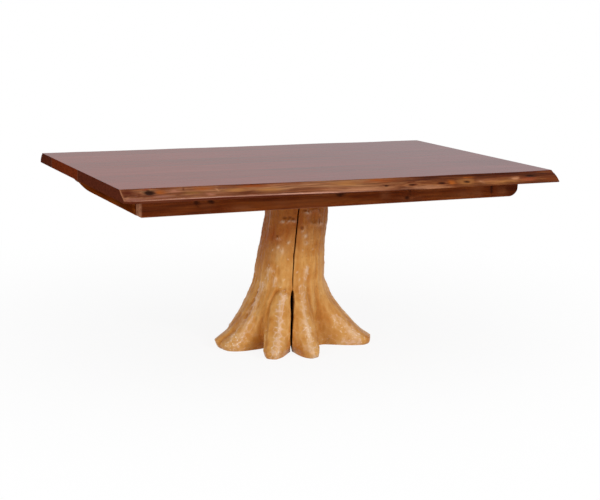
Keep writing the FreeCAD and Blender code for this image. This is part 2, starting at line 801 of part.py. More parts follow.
def faceted(name, rings):
    # a solid of flat three-sided facets between the rings, with flat ends
    facets = [Part.Face(Part.makePolygon(ring + ring[:1])) for ring in (rings[0], rings[-1])]
    for low, high in zip(rings, rings[1:]):
        for index in range(len(low)):
            following = (index + 1) % len(low)
            corners = (low[index], low[following], high[following], high[index])
            for a, b, c in ((0, 1, 2), (0, 2, 3)):
                wire = Part.makePolygon([corners[a], corners[b], corners[c], corners[a]])
                facets.append(Part.Face(wire))
    skin = Part.makeCompound(facets)
    skin.sewShape()
    feature = doc.addObject("Part::Feature", name)
    feature.Shape = Part.Solid(skin.Shells[0])
    return feature


def stump():
    rings = []
    for index in range(STUMP_LEVEL_COUNT):
        rings.append(stump_ring((index / (STUMP_LEVEL_COUNT - 1)) ** LEVEL_POWER_SHARE))
    trunk = faceted("stump_flare", rings)
    radius = size("lag_shank") / 2 + size("pilot_gap")
    bottom = worth(PLATE_TOP) - size("lag_length") - size("pilot_gap")
    holes = []
    for turn in LAG_DEGREES:
        angle = math.radians(turn)
        x = size("trunk_x") + size("lag_circle") * math.cos(angle)
        y = size("lag_circle") * math.sin(angle) - size("trunk_front")
        holes.append(Part.makeCylinder(radius, size("lag_length"), Vector(x, y, bottom)))
    keep(cut("stump_drilled", trunk, compound("lag_pilots", holes)), "stump_pedestal")


planks()
long_rail("rail_front", "0", "-")
long_rail("rail_back", "180", "")
end_rail("end_rail_left", "0", "-")
end_rail("end_rail_right", "180", "")
corner_block("corner_block_front_left", "-", "-", "0")
corner_block("corner_block_front_right", "", "-", "90")
corner_block("corner_block_back_right", "", "", "180")
corner_block("corner_block_back_left", "-", "", "270")
battens()
pedestal_plate()
lag_screws()
stump()

batten_screw = upward_screw("batten_screw_master", "batten_thick + screw_bite")
plate_screw = upward_screw("plate_screw_master", "plate_thick + screw_bite")
group("batten_screws", batten_screw, batten_screw_places)
group("plate_screws", plate_screw, plate_screw_places)

doc.recompute()
for obj in doc.Objects:
    if "Invalid" in obj.State or "Error" in obj.State:
        raise RuntimeError(f"{obj.Name} did not compute: {obj.State}")

os.makedirs("parts", exist_ok=True)
for obj in sub_parts:
    shape = obj.Shape
    if shape.isNull() or not shape.isValid():
        raise RuntimeError(f"{obj.Label} has no valid shape")
    shape.exportStep(f"parts/{obj.Label}.step")
    print(f"{obj.Label}: {len(shape.Solids)} solids, {shape.Volume / 1000:.1f} cm3")
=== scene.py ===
import bisect
import math

import bpy
from mathutils import Matrix, Vector, noise


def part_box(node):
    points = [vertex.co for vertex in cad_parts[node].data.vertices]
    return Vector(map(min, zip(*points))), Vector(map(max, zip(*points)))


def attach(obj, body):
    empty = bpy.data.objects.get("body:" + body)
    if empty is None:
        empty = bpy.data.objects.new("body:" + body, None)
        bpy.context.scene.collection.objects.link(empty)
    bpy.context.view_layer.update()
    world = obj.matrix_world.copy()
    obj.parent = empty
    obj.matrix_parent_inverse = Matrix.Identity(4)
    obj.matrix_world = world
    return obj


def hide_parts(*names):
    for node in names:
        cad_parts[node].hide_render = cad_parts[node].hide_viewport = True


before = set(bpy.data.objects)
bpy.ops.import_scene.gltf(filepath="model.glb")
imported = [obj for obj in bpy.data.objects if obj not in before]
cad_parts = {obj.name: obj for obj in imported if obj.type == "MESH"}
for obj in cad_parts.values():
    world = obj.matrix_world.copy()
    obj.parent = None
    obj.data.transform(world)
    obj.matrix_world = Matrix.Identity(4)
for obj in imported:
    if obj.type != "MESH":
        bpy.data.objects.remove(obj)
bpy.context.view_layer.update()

# A rustic dining table on a root-flared stump. Metres, X along the top, the front faces -Y.

TOP_LOW, TOP_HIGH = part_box("top_plank_3")
RAIL_INSIDE, RAIL_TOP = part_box("rail_front")[1][1:]
STUMP_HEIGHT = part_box("stump_pedestal")[1][2]
LENGTH = TOP_HIGH[0] - TOP_LOW[0]
THICK = TOP_HIGH[2] - TOP_LOW[2]


# Small helpers

def clamp(value, low=0.0, high=1.0):
    return max(low, min(high, value))


def smooth(value, low, high):
    part = clamp((value - low) / (high - low))
    return part * part * (3 - 2 * part)


def mixed(a, b, part):
    return a + (b - a) * part


def bowed(start, middle, end, part):
    # a curve through the start, the middle and the end
    return (start * (1 - part) * (1 - 2 * part) + 4 * middle * part * (1 - part)
            + end * part * (2 * part - 1))


def along_table(table, place):
    # a smooth curve through the rows of (place, value)
    places = [row[0] for row in table]
    last = len(table) - 1
    index = clamp(bisect.bisect_right(places, place) - 1, 0, last - 1)
    p0, p1, p2, p3 = (table[clamp(index + step, 0, last)][1] for step in (-1, 0, 1, 2))
    part = clamp((place - places[index]) / (places[index + 1] - places[index]))
    return 0.5 * (2 * p1 + (p2 - p0) * part + (2 * p0 - 5 * p1 + 4 * p2 - p3) * part ** 2
                  + (3 * p1 - p0 - 3 * p2 + p3) * part ** 3)


def turbulence(x, y, z, octaves=3):
    return noise.fractal(Vector((x, y, z)), 0.9, 2.1, octaves)


def scaled(colour, share):
    return tuple(c * share for c in colour)


def tinted(palette, share):
    return tuple(scaled(colour, share) for colour in palette)


def add_object(name, data):
    obj = bpy.data.objects.new(name, data)
    bpy.context.scene.collection.objects.link(obj)
    return obj


def note(marks, *values):
    # one value more for each list of a piece's attributes
    for row, value in zip(marks.values(), values):
        row.append(value)


def tube_faces(points, rings, order):
    # quads between rings of points, their corners taken in this order, and the two ends
    count = len(points) // rings
    faces = []
    for ring in range(rings - 1):
        for j in range(count):
            a = ring * count + j
            b = ring * count + (j + 1) % count
            corners = (a, b, b + count, a + count)
            faces.append(tuple(corners[index] for index in order))
    first = tuple(range(count))
    last = tuple((rings - 1) * count + j for j in range(count))
    turned = (order[1] - order[0]) % 4 == 3
    return faces + ([first, last[::-1]] if turned else [first[::-1], last])


def mesh_piece(name, points, faces, attributes, smooth_angle):
    mesh = bpy.data.meshes.new(name)
    mesh.from_pydata(points, [], faces)
    mesh.update()
    for key, values in attributes.items():
        if isinstance(values[0], tuple):
            layer = mesh.attributes.new(key, "FLOAT_VECTOR", "POINT")
            layer.data.foreach_set("vector", [c for value in values for c in value])
        else:
            layer = mesh.attributes.new(key, "FLOAT", "POINT")
            layer.data.foreach_set("value", values)
    mesh.shade_smooth()
    mesh.set_sharp_from_angle(angle=math.radians(smooth_angle))
    return add_object(name, mesh)


# Node materials

class Nodes:
    # short ways to add nodes to a tree; an input is a number, a tuple or another node's output

    def __init__(self, owner):
        owner.use_nodes = True
        self.tree = owner.node_tree
        self.tree.nodes.clear()

    def add(self, kind, inputs=None, **settings):
        node = self.tree.nodes.new("ShaderNode" + kind)
        for key, value in settings.items():
            setattr(node, key, value)
        for key, value in (inputs or {}).items():
            if isinstance(value, (int, float, tuple)):
                node.inputs[key].default_value = value
            else:
                self.tree.links.new(value, node.inputs[key])
        return node

    def place(self):
        return self.add("TexCoord").outputs["Object"]

    def attribute(self, name, kind="Fac"):
        return self.add("Attribute", attribute_name=name).outputs[kind]

    def split(self, vector):
        return self.add("SeparateXYZ", {"Vector": vector}).outputs

    def mapped(self, vector, scale, shift=(0, 0, 0)):
        inputs = {"Vector": vector, "Scale": scale, "Location": shift}
        return self.add("Mapping", inputs).outputs["Vector"]

    def noise(self, vector, scale, detail, roughness, distortion=0.0):
        inputs = {"Vector": vector, "Scale": scale, "Detail": detail, "Roughness": roughness,
                  "Distortion": distortion}
        return self.add("TexNoise", inputs).outputs["Fac"]

    def grain(self, vector, stretch, detail, roughness, distortion=0.0, shift=(0, 0, 0)):
        stretched = self.mapped(vector, stretch, shift)
        return self.noise(stretched, 1.0, detail, roughness, distortion)

    def math(self, operation, *values):
        return self.add("Math", dict(enumerate(values)), operation=operation).outputs[0]

    def times(self, first, second):
        return self.math("MULTIPLY", first, second)

    def sway(self, value, middle, strength, base):
        # the base, moved by how far the value stands off its middle
        return self.math("MULTIPLY_ADD", self.math("SUBTRACT", value, middle), strength, base)

    def spread(self, value, low, high, to_low=0.0, to_high=1.0, **settings):
        inputs = {"Value": value, "From Min": low, "From Max": high, "To Min": to_low,
                  "To Max": to_high}
        return self.add("MapRange", inputs, **settings).outputs["Result"]

    def ramp(self, value, *stops):
        node = self.add("ValToRGB", {"Fac": value})
        elements = node.color_ramp.elements
        while len(elements) < len(stops):
            elements.new(0.5)
        for element, (place, colour) in zip(elements, stops):
            element.position = place
            element.color = (*colour, 1.0)
        return node.outputs["Color"]

    def mix(self, part, first, second, blend="MIX"):
        first, second = ((*c, 1.0) if isinstance(c, tuple) else c for c in (first, second))
        inputs = {"Factor": part, "A": first, "B": second}
        return self.add("Mix", inputs, data_type="RGBA", blend_type=blend).outputs["Result"]

    def bump(self, height, strength, distance, normal=None):
        inputs = {"Height": height, "Strength": strength, "Distance": distance}
        if normal is not None:
            inputs["Normal"] = normal
        return self.add("Bump", inputs).outputs["Normal"]


class Paint(Nodes):
    def __init__(self, name):
        self.material = bpy.data.materials.new(name)
        super().__init__(self.material)

    def finish(self, colour, roughness, normal, coat=0.0, coat_roughness=0.1, specular=0.5,
               metallic=0.0):
        inputs = {"Base Color": colour, "Roughness": roughness, "Normal": normal,
                  "Coat Weight": coat, "Coat Roughness": coat_roughness,
                  "Specular IOR Level": specular, "Metallic": metallic}
        shader = self.add("BsdfPrincipled", inputs)
        self.add("OutputMaterial", {"Surface": shader.outputs["BSDF"]})
        return self.material


def board_wood(name, palette, shift, ring_shift, coat=0.0, coat_roughness=0.2, specular=0.2,
               knots=False, wear_and_highlight=None, ring_scale=20.0, along="X", far=None,
               far_span=(-0.15, 0.35), end_colour=None, joint=None, streaks=0.5):
    # sawn and varnished wood: growth rings cut lengthwise, pores, patches and end grain.
    # palette is dark, middle and light; far is the palette that the right end fades to
    paint = Paint(name)
    dark, middle, light = palette
    place = seat = paint.place()
    if along == "Y":
        turned = paint.add("VectorRotate", {"Vector": place, "Angle": math.radians(90)},
                           rotation_type="Z_AXIS")
        place = turned.outputs["Vector"]
    if knots:
        # the grain swerves round the knots
        bend = paint.attribute("swerve")
        offset = paint.add("CombineXYZ", {"X": 0.0, "Y": bend, "Z": bend}).outputs["Vector"]
        place = paint.add("VectorMath", {0: place, 1: offset}, operation="ADD").outputs["Vector"]
    inputs = {"Vector": paint.mapped(place, (0.09, 1.0, 1.0), ring_shift), "Scale": ring_scale,
              "Distortion": 5.0, "Detail": 3.0, "Detail Scale": 3.0}
    rings = paint.add("TexWave", inputs, wave_type="RINGS", rings_direction="X",
                      wave_profile="SAW").outputs["Fac"]
    ring_line = paint.ramp(rings, (0.0, (0, 0, 0)), (0.7, (0.35, 0.35, 0.35)),
                           (0.94, (1, 1, 1)), (1.0, (0.1, 0.1, 0.1)))
    pores = paint.grain(place, (5.0, 260.0, 260.0), 3.0, 0.6, shift=shift)
    fibre = paint.grain(place, (2.6, 52.0, 52.0), 5.0, 0.62, 0.4, shift)
    patch = paint.grain(place, (4.0, 17.0, 17.0), 3.0, 0.55, 0.9, shift)
    cloud = paint.grain(place, (1.1, 3.0, 3.0), 2.0, 0.5, 0.4, shift)
    tone = paint.math("MULTIPLY_ADD", fibre, 0.55, paint.times(patch, 0.45))
    tone = paint.sway(cloud, 0.5, 0.4, tone)
    half_range = 0.11 / streaks
    tone = paint.spread(tone, 0.5 - half_range, 0.5 + half_range)
    colour = paint.ramp(tone, (0.0, dark), (0.5, middle), (1.0, light))
    if far:
        other = paint.ramp(tone, (0.0, far[0]), (0.5, far[1]), (1.0, far[2]))
        colour = paint.mix(paint.spread(paint.split(seat)["X"], *far_span), colour, other)
        dark = far[0]
    darker = scaled(dark, 0.5)
    colour = paint.mix(paint.times(ring_line, 0.45 * streaks), colour, dark)
    colour = paint.mix(paint.spread(pores, 0.36, 0.5, 0.5 * streaks, 0.0), colour, darker)
    # end grain is darker and drinks more stain
    normal = paint.add("NewGeometry").outputs["Normal"]
    end = paint.spread(paint.math("ABSOLUTE", paint.split(normal)[along]), 0.75, 0.95)
    end_tone = paint.grain(seat, (1.0, 60.0, 150.0), 4.0, 0.6, 0.5, shift)
    end_dark = end_colour or scaled(dark, 0.7)
    end_shade = paint.ramp(end_tone, (0.25, scaled(end_dark, 0.6)), (0.75, scaled(end_dark, 1.45)))
    if joint is not None:
        # a thin line of glue where two planks meet
        off = paint.math("SUBTRACT", paint.split(seat)["Y"], joint)
        near = paint.math("ABSOLUTE", off)
        end_shade = paint.mix(paint.spread(near, 0.0012, 0.0018, 0.75, 0.0), end_shade,
                              (0.34, 0.16, 0.09))
    colour = paint.mix(end, colour, end_shade)
    if knots:
        # patches of other tones, broken up by the fibre
        patchy = paint.times(paint.attribute("tinted"), paint.spread(fibre, 0.3, 0.54, 0.2, 1.0))
        colour = paint.mix(patchy, colour, paint.attribute("tint", "Color"))
        rough_knot = paint.grain(place, (45.0, 140.0, 140.0), 4.0, 0.65, shift=shift)
        knot = paint.sway(rough_knot, 0.5, 0.9, paint.attribute("knot"))
        colour = paint.mix(paint.times(paint.spread(knot, 0.12, 0.45), 0.8), colour, darker)
        colour = paint.mix(paint.spread(knot, 0.5, 0.72), colour, (0.022, 0.005, 0.001))
    if wear_and_highlight is not None:
        # eased corners painted lighter: partly rubbed wear, partly a painted highlight on the
        # rounding
        rubbed = paint.grain(place, (14.0, 60.0, 60.0), 4.0, 0.6, shift=shift)
        edge = paint.times(paint.attribute("wear_and_highlight"), paint.spread(rubbed, 0.3, 0.7, 0.35, 1.0))
        colour = paint.mix(edge, colour, wear_and_highlight)
    height = paint.math("MULTIPLY_ADD", ring_line, 0.25, paint.spread(pores, 0.36, 0.5))
    normal = paint.bump(height, 0.22, 0.0004)
    normal = paint.bump(patch, 0.12, 0.004, normal)
    roughness = paint.spread(fibre, 0.3, 0.7, 0.3, 0.5)
    if coat:
        # bare end grain has no film of varnish on it
        coat = paint.spread(end, 0.0, 1.0, coat, 0.0)
    return paint.finish(colour, roughness, normal, coat, coat_roughness, specular)


def steel(name, colour, roughness, metallic, grain):
    # rolled or plated steel with a fine mottled finish
    paint = Paint(name)
    place = paint.place()
    mottled = paint.noise(place, 90.0, 5.0, 0.65)
    brushed = paint.grain(place, (400.0, 30.0, 400.0), 3.0, 0.6)
    tone = paint.spread(mottled, 0.3, 0.7, 0.75, 1.15)
    grey = paint.ramp(tone, (0.0, (0.6, 0.6, 0.6)), (1.0, (1.0, 1.0, 1.0)))
    rough = paint.spread(brushed, 0.3, 0.7, roughness * 0.8, roughness * 1.25)
    normal = paint.bump(paint.math("ADD", mottled, brushed), grain, 0.0003)
    return paint.finish(paint.mix(1.0, colour, grey, "MULTIPLY"), rough, normal,
                        metallic=metallic)


TOP_WOOD = ((0.15, 0.022, 0.012), (0.235, 0.037, 0.024), (0.31, 0.064, 0.044))
FAR_TOP_WOOD = ((0.11, 0.026, 0.03), (0.185, 0.046, 0.05), (0.26, 0.078, 0.076))
EDGE_WOOD = ((0.12, 0.027, 0.008), (0.29, 0.102, 0.042), (0.43, 0.205, 0.095))
FAR_EDGE_WOOD = ((0.046, 0.009, 0.003), (0.138, 0.033, 0.009), (0.275, 0.098, 0.031))
RAIL_WOOD = ((0.069, 0.01, 0.001), (0.152, 0.026, 0.0026), (0.246, 0.06, 0.009))
FRAME_WOOD = ((0.09, 0.036, 0.015), (0.17, 0.075, 0.034), (0.26, 0.13, 0.065))
END_GRAIN = (0.078, 0.017, 0.008)
REDDER_END_GRAIN = (0.126, 0.021, 0.006)


# The live edges

# Stations along the edge, as shares of the length from the middle
STATIONS = (-0.56, -0.42, -0.3, -0.17, -0.04, 0.09, 0.21, 0.34, 0.45, 0.56)
# At each station, how far the shoulder, nose and belly wander and how far the nose is raised
FRONT_CURVES = (
    (0.2, -1.5, -1.2, -1.2, -1.2, -0.5, 0.1, 1.6, 1.5, 1.9),
    (0.3, 0.1, 0.6, 0.2, 0.9, 0.4, 0.7, 0.0, 0.4, 0.1),
    (0.02, 0.0, -0.03, 0.03, -0.02, 0.04, -0.01, 0.02, -0.03, 0.0),
    (1.0, 0.8, 0.3, 0.2, 0.8, 1.6, 2.45, 3.1, 3.1, 2.0),
)
BACK_CURVES = (
    (-0.5, -0.3, 0.1, -0.4, 0.4, 0.0, -0.5, 0.2, -0.1, 0.3),
    (0.2, 0.0, 0.5, 0.8, 0.3, 0.6, 0.1, 0.9, 0.3, 0.5),
    (0.03, 0.01, -0.02, 0.02, 0.04, -0.02, 0.0, 0.03, -0.01, 0.02),
    (0.8, 1.0, 1.3, 1.1, 0.9, 1.2, 1.6, 1.3, 1.5, 1.8),
)
FRONT_WANE = 0.064
BACK_WANE = 0.038
SHOULDER_WANDER = 0.009
NOSE_WANDER = 0.004
NOSE_RISE = 0.004
NOSE_TUCK = 0.007
# The belly of the slope: in from the nose as a share of the wane, up as a share of the thickness
BELLY_IN = 0.37
BELLY_UP = 0.56
# The front left corner: how far it is rounded back, and over what run along the edge
CORNER_DEPTH = 0.026
CORNER_RUN = 0.044
# The way out of the back edge's slope, mirrored at the front
WAY_OUT = Vector((0.0, 0.5, 0.86))

# Knots on the edges: place along X, share of the way down the slope, half sizes along and
# across, and how deep the knot is pitted
FRONT_KNOTS = (
    (-0.812, 0.26, 0.018, 0.0105, 0.003),
    (0.13, 0.6, 0.012, 0.004, 0.0012),
    (0.238, 0.62, 0.012, 0.0035, 0.0008),
    (0.37, 0.6, 0.016, 0.004, 0.0012),
    (0.487, 0.58, 0.016, 0.0042, 0.0015),
    (0.786, 0.35, 0.018, 0.0045, 0.0015),
)
BACK_KNOTS = (
    (-0.62, 0.5, 0.024, 0.009, 0.003),
    (-0.11, 0.6, 0.016, 0.006, 0.0015),
    (0.34, 0.4, 0.03, 0.01, 0.003),
    (0.71, 0.7, 0.014, 0.006, 0.0015),
)
TONES = {
    "orange": (0.33, 0.08, 0.01),
    "rust": (0.28, 0.056, 0.007),
    "tan": (0.38, 0.155, 0.045),
    "pale": (0.45, 0.2, 0.1),
    "rose": (0.38, 0.145, 0.085),
    # a painted highlight line along the nose of the live edges
    "painted_sheen": (0.56, 0.29, 0.21),
    "red": (0.235, 0.048, 0.02),
    "fawn": (0.25, 0.082, 0.034),
    "mauve": (0.27, 0.105, 0.07),
    "shade": (0.05, 0.011, 0.002),
    "olive": (0.26, 0.11, 0.03),
    "brown": (0.14, 0.032, 0.008),
    "dark": (0.085, 0.012, 0.003),
    "black": (0.015, 0.008, 0.003),
    "rail": (0.23, 0.068, 0.022),
}
# Patches of other tones: place along X, share of the way down, half sizes along and across. The
# long thin patches at 0.96 to 0.97 of the way down, along the nose, are a painted highlight line.
FRONT_PATCHES = (
    (0.59, 0.6, 0.06, 0.01, "fawn"),
    (-0.892, 0.22, 0.022, 0.01, "dark"), (-0.858, 0.48, 0.016, 0.006, "brown"),
    (-0.875, 0.78, 0.045, 0.014, "mauve"), (-0.91, 0.62, 0.012, 0.006, "pale"),
    (-0.892, 0.2, 0.024, 0.014, "dark"), (-0.854, 0.36, 0.007, 0.006, "dark"),
    (-0.838, 0.62, 0.007, 0.003, "dark"), (-0.822, 0.52, 0.018, 0.006, "brown"),
    (-0.822, 0.05, 0.014, 0.003, "red"), (-0.812, 0.26, 0.018, 0.0095, "black"),
    (-0.77, 0.25, 0.022, 0.01, "orange"),
    (-0.77, 0.6, 0.03, 0.008, "mauve"), (-0.718, 0.22, 0.018, 0.008, "rose"),
    (-0.678, 0.12, 0.004, 0.01, "dark"), (-0.71, 0.52, 0.01, 0.006, "brown"),
    (-0.655, 0.42, 0.03, 0.009, "olive"), (-0.598, 0.17, 0.038, 0.007, "orange"),
    (-0.554, 0.25, 0.005, 0.011, "pale"), (-0.59, 0.62, 0.018, 0.007, "rose"),
    (-0.48, 0.35, 0.05, 0.01, "tan"), (-0.36, 0.45, 0.05, 0.01, "tan"),
    (-0.42, 0.12, 0.06, 0.004, "rust"), (-0.64, 0.97, 0.27, 0.004, "painted_sheen"),
    (-0.22, 0.96, 0.24, 0.0045, "painted_sheen"), (-0.034, 0.25, 0.06, 0.008, "tan"),
    (0.01, 0.78, 0.11, 0.007, "pale"), (0.114, 0.18, 0.065, 0.007, "rust"),
    (0.126, 0.6, 0.028, 0.0035, "dark"), (0.234, 0.4, 0.022, 0.004, "dark"),
    (0.29, 0.26, 0.028, 0.004, "dark"), (0.31, 0.88, 0.085, 0.006, "pale"),
    (0.242, 0.65, 0.016, 0.0035, "dark"), (0.37, 0.6, 0.02, 0.004, "dark"),
    (0.418, 0.6, 0.016, 0.01, "orange"), (0.43, 0.85, 0.006, 0.005, "dark"),
    (0.482, 0.6, 0.038, 0.014, "tan"), (0.482, 0.6, 0.02, 0.007, "brown"),
    (0.498, 0.22, 0.026, 0.004, "orange"), (0.64, 0.72, 0.095, 0.008, "tan"),
    (0.554, 0.6, 0.013, 0.006, "pale"), (0.714, 0.5, 0.018, 0.006, "pale"),
    (0.67, 0.22, 0.06, 0.003, "dark"), (0.678, 0.75, 0.012, 0.003, "dark"),
    (0.77, 0.66, 0.036, 0.009, "red"), (0.786, 0.35, 0.02, 0.004, "black"),
    (0.89, 0.25, 0.022, 0.004, "dark"), (0.88, 0.7, 0.035, 0.014, "brown"),
)
# Patches on the back edge, as above; the long thin ones along the nose are a painted highlight
# line
BACK_PATCHES = (
    (-0.85, 0.5, 0.05, 0.02, "rose"), (-0.4, 0.3, 0.06, 0.012, "orange"),
    (-0.3, 1.0, 0.3, 0.004, "painted_sheen"), (0.15, 0.7, 0.05, 0.01, "tan"),
    (0.55, 0.3, 0.05, 0.012, "orange"), (0.55, 0.95, 0.3, 0.004, "painted_sheen"),
    (-0.62, 0.5, 0.024, 0.008, "black"), (0.78, 0.5, 0.04, 0.012, "tan"),
)


def spot(across, up, centre_x, centre_y, half_x, half_y):
    # 1 in the middle of an oval, falling to 0 well outside it
    reach = math.hypot((across - centre_x) / half_x, (up - centre_y) / half_y)
    return math.exp(-0.9 * reach ** 2.2)


def on_slope(x, part, wane, wander, from_end, knots, patches, seed):
    # the marks at one place on the slope, and how far the surface is pressed in there
    across = part * wane
    knot = swerve = sunk = 0.0
    for kx, kshare, hx, hy, deep in knots:
        ky = kshare * wane
        wobble = 1 + 0.25 * turbulence(x * 60, across * 90, kx * 7 + seed, 3)
        near = spot(x, across, kx, ky, hx * wobble, hy * wobble)
        knot = max(knot, near if deep > 0.002 else 0.64 * near)
        ring = spot(x, across, kx, ky, hx * 2.4, hy * 3.0)
        swerve += 0.005 * ring * math.copysign(1, across - ky)
        sunk = sunk + deep * near ** 2 - 0.0007 * ring
    stray_x = x + 0.012 * turbulence(x * 40, across * 110, seed + 1.0, 3)
    stray = across + 0.0035 * turbulence(x * 26, across * 150, seed + 4.0, 3)
    tint = Vector(TONES["dark"])
    # a thin dark line along the crest
    share = 0.7 * (1 - smooth(part, 0.02, 0.1)) * clamp(0.7 + 0.8 * wander)
    for ax, ashare, hx, hy, tone in patches:
        if abs(x - ax) < 3 * hx:
            near = spot(stray_x, stray, ax, ashare * wane, hx, hy)
            tint = tint.lerp(Vector(TONES[tone]), near / max(near + share, 1e-6))
            share = max(share, near)
    # the arris at the rounded end is painted pale, a painted highlight on the rounding
    arris_highlight = 0.75 * (1 - smooth(from_end, 0.002, 0.006))
    if arris_highlight > 0.05:
        tint = tint.lerp(Vector(TONES["pale"]), arris_highlight)
        share = max(share, arris_highlight)
    ends = smooth(part, 0.0, 0.12) * (1 - 0.6 * smooth(part, 0.9, 1.0))
    furrow = turbulence(x * 7.0, part * 9.0, seed + 2.0, 4)
    scallop = turbulence(x * 22.0, part * 14.0, seed + 8.0, 3)
    grain = turbulence(x * 30.0, part * 46.0, seed + 5.0, 3)
    # never proud of the sawn section, so it stays in the plank's box
    press = 0.0011 * (1.1 + furrow) + 0.0006 * (1 + scallop) + 0.0003 * (1 + grain)
    return (knot, tuple(tint), share, swerve), ends * (press + max(sunk, -0.0006))


def live_edge_plank(name, side, box, width, curves, knots, patches, seed):
    # side is -1 at the front and 1 at the back; the section runs from the joint over the top,
    # down the slope, round the nose and back under to the joint
    low, high = box
    outer, joint = (low[1], high[1]) if side < 0 else (high[1], low[1])
    shoulder_rows, nose_rows, belly_rows, rise_rows = (
        sorted((side * s * LENGTH, v) for s, v in zip(STATIONS, curve)) for curve in curves
    )
    top_z, under_z = TOP_HIGH[2], TOP_LOW[2]
    slope_steps = 26
    count_x = 640
    points = []
    marks = {"knot": [], "tint": [], "tinted": [], "swerve": []}
    for i in range(count_x + 1):
        x = TOP_LOW[0] + LENGTH * i / count_x
        wander = turbulence(x * 9.0, seed, 0.3, 4)
        fine = turbulence(x * 34.0, seed, 4.3, 3)
        nose = clamp(along_table(nose_rows, x), 0.0, 1.2)
        belly = along_table(belly_rows, x)
        nose_y = outer - side * (NOSE_WANDER * nose + 0.001 * abs(wander))
        wane = (width + along_table(shoulder_rows, x) * SHOULDER_WANDER + 0.0022 * wander
                + 0.0006 * fine)
        # the front left corner is rounded off
        from_end = x - TOP_LOW[0] if side < 0 else 1.0
        rounding = CORNER_DEPTH * clamp(1 - from_end / CORNER_RUN) ** 2.2
        nose_y -= side * rounding
        wane -= rounding
        crest_y = nose_y - side * wane
        tip_z = under_z + NOSE_RISE * along_table(rise_rows, x) + 0.0008 * (1 + wander)
        belly_y = nose_y - side * wane * (BELLY_IN - belly)
        belly_z = under_z + THICK * (BELLY_UP + belly)
        # rows of y, z and the share of the way down the slope, which is below 0 off the slope
        row = [(mixed(joint, crest_y, part), top_z, -1.0) for part in (0.0, 0.55, 0.9, 0.985)]
        for step in range(slope_steps + 1):
            part = step / slope_steps
            row.append((bowed(crest_y, belly_y, nose_y, part),
                        bowed(top_z, belly_z, tip_z, part), part))
        under_y = nose_y - side * NOSE_TUCK
        row += [(mixed(nose_y, under_y, part ** 1.6), mixed(tip_z, under_z, part), -3.0)
                for part in (0.35, 0.7, 0.95)]
        row += [(mixed(under_y - side * 0.002, joint, part), under_z, -2.0)
                for part in (0.0, 0.3, 1.0)]
        for y, z, part in row:
            # the tuck under the nose is painted dark, a painted shade under the nose
            found = (0.0, TONES["dark"], 1.0 if part < -2.5 else 0.0, 0.0)
            if part >= 0.0:
                found, press = on_slope(x, part, wane, wander, from_end, knots, patches, seed)
                y -= side * WAY_OUT.y * press
                z -= WAY_OUT.z * press
            points.append((x, y, z))
            note(marks, *found)
    faces = tube_faces(points, count_x + 1, (0, 1, 2, 3) if side < 0 else (3, 2, 1, 0))
    piece = mesh_piece(name, points, faces, marks, 32.0)
    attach(piece, "root")
    return piece


def two_finishes(piece, top_material, edge_material):
    # the sawn faces take the top's finish, the sloped edge its own
    piece.data.materials.append(top_material)
    piece.data.materials.append(edge_material)
    for face in piece.data.polygons:
        flat = abs(face.normal.z) > 0.995 or abs(face.normal.x) > 0.8
        face.material_index = 0 if flat else 1


top_finish = dict(coat=0.43, coat_roughness=0.13, specular=0.0, streaks=0.32)
plank_paints = []
for index, (shift, ring_shift, tint, end_colour, joint) in enumerate((
    ((0.0, 3.1, 0.0), (0.02, 0.62, -0.69), 1.04, END_GRAIN, None),
    ((2.3, 7.7, 0.0), (0.00, 0.21, -0.6), 0.92, END_GRAIN, None),
    ((5.1, 1.3, 0.0), (-0.01, 0.16, -0.8), 1.06, END_GRAIN, None),
    ((8.7, 4.9, 0.0), (0.01, -0.1, -0.65), 0.94, REDDER_END_GRAIN,
     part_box("top_plank_4")[0][1]),
    ((3.9, 9.1, 0.0), (0.00, -0.38, -0.84), 1.05, REDDER_END_GRAIN,
     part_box("top_plank_5")[1][1]),
    ((6.5, 2.2, 0.0), (-0.02, -0.44, -0.69), 0.96, END_GRAIN, None),
)):
    plank_paints.append(board_wood(
        f"top_board_{index + 1}", tinted(TOP_WOOD, tint), shift, ring_shift,
        far=tinted(FAR_TOP_WOOD, tint), far_span=(-0.8, 0.7), end_colour=end_colour, joint=joint,
        **top_finish,
    ))

edge_finish = dict(coat=0.09, coat_roughness=0.3, specular=0.0, knots=True,
                   end_colour=END_GRAIN, streaks=0.9)
front_edge_paint = board_wood("live_edge_front", EDGE_WOOD, (1.0, 3.1, 0.0),
                              (0.02, 0.62, -0.69), far=FAR_EDGE_WOOD, **edge_finish)
back_edge_paint = board_wood("live_edge_back", EDGE_WOOD, (6.0, 2.2, 0.0),
                             (0.02, -0.55, -0.69), **edge_finish)

front_plank = live_edge_plank(
    "front_live_edge_plank", -1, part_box("top_plank_front_live_edge"), FRONT_WANE,
    FRONT_CURVES, FRONT_KNOTS, FRONT_PATCHES, 1.7)
two_finishes(front_plank, plank_paints[0], front_edge_paint)
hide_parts("top_plank_front_live_edge")
back_plank = live_edge_plank(
    "back_live_edge_plank", 1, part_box("top_plank_back_live_edge"), BACK_WANE,
    BACK_CURVES, BACK_KNOTS, BACK_PATCHES, 6.4)
two_finishes(back_plank, plank_paints[5], back_edge_paint)
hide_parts("top_plank_back_live_edge")


def repaint(node, material):
    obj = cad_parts[node]
    if not obj.material_slots:
        obj.data.materials.append(material)
    for slot in obj.material_slots:
        slot.material = material


for number in (2, 3, 4, 5):
    repaint(f"top_plank_{number}", plank_paints[number - 1])


# The apron

# How far the rails' lower corners are eased
RAIL_EASE = 0.003
# Knots on the front rail: place along, distance below its top, half sizes
RAIL_KNOTS = (
    (-0.593, 0.034, 0.013, 0.009), (-0.54, 0.028, 0.016, 0.008), (-0.005, 0.03, 0.02, 0.007),
    (0.293, 0.052, 0.012, 0.01), (0.306, 0.036, 0.008, 0.008), (0.687, 0.038, 0.007, 0.024),
)

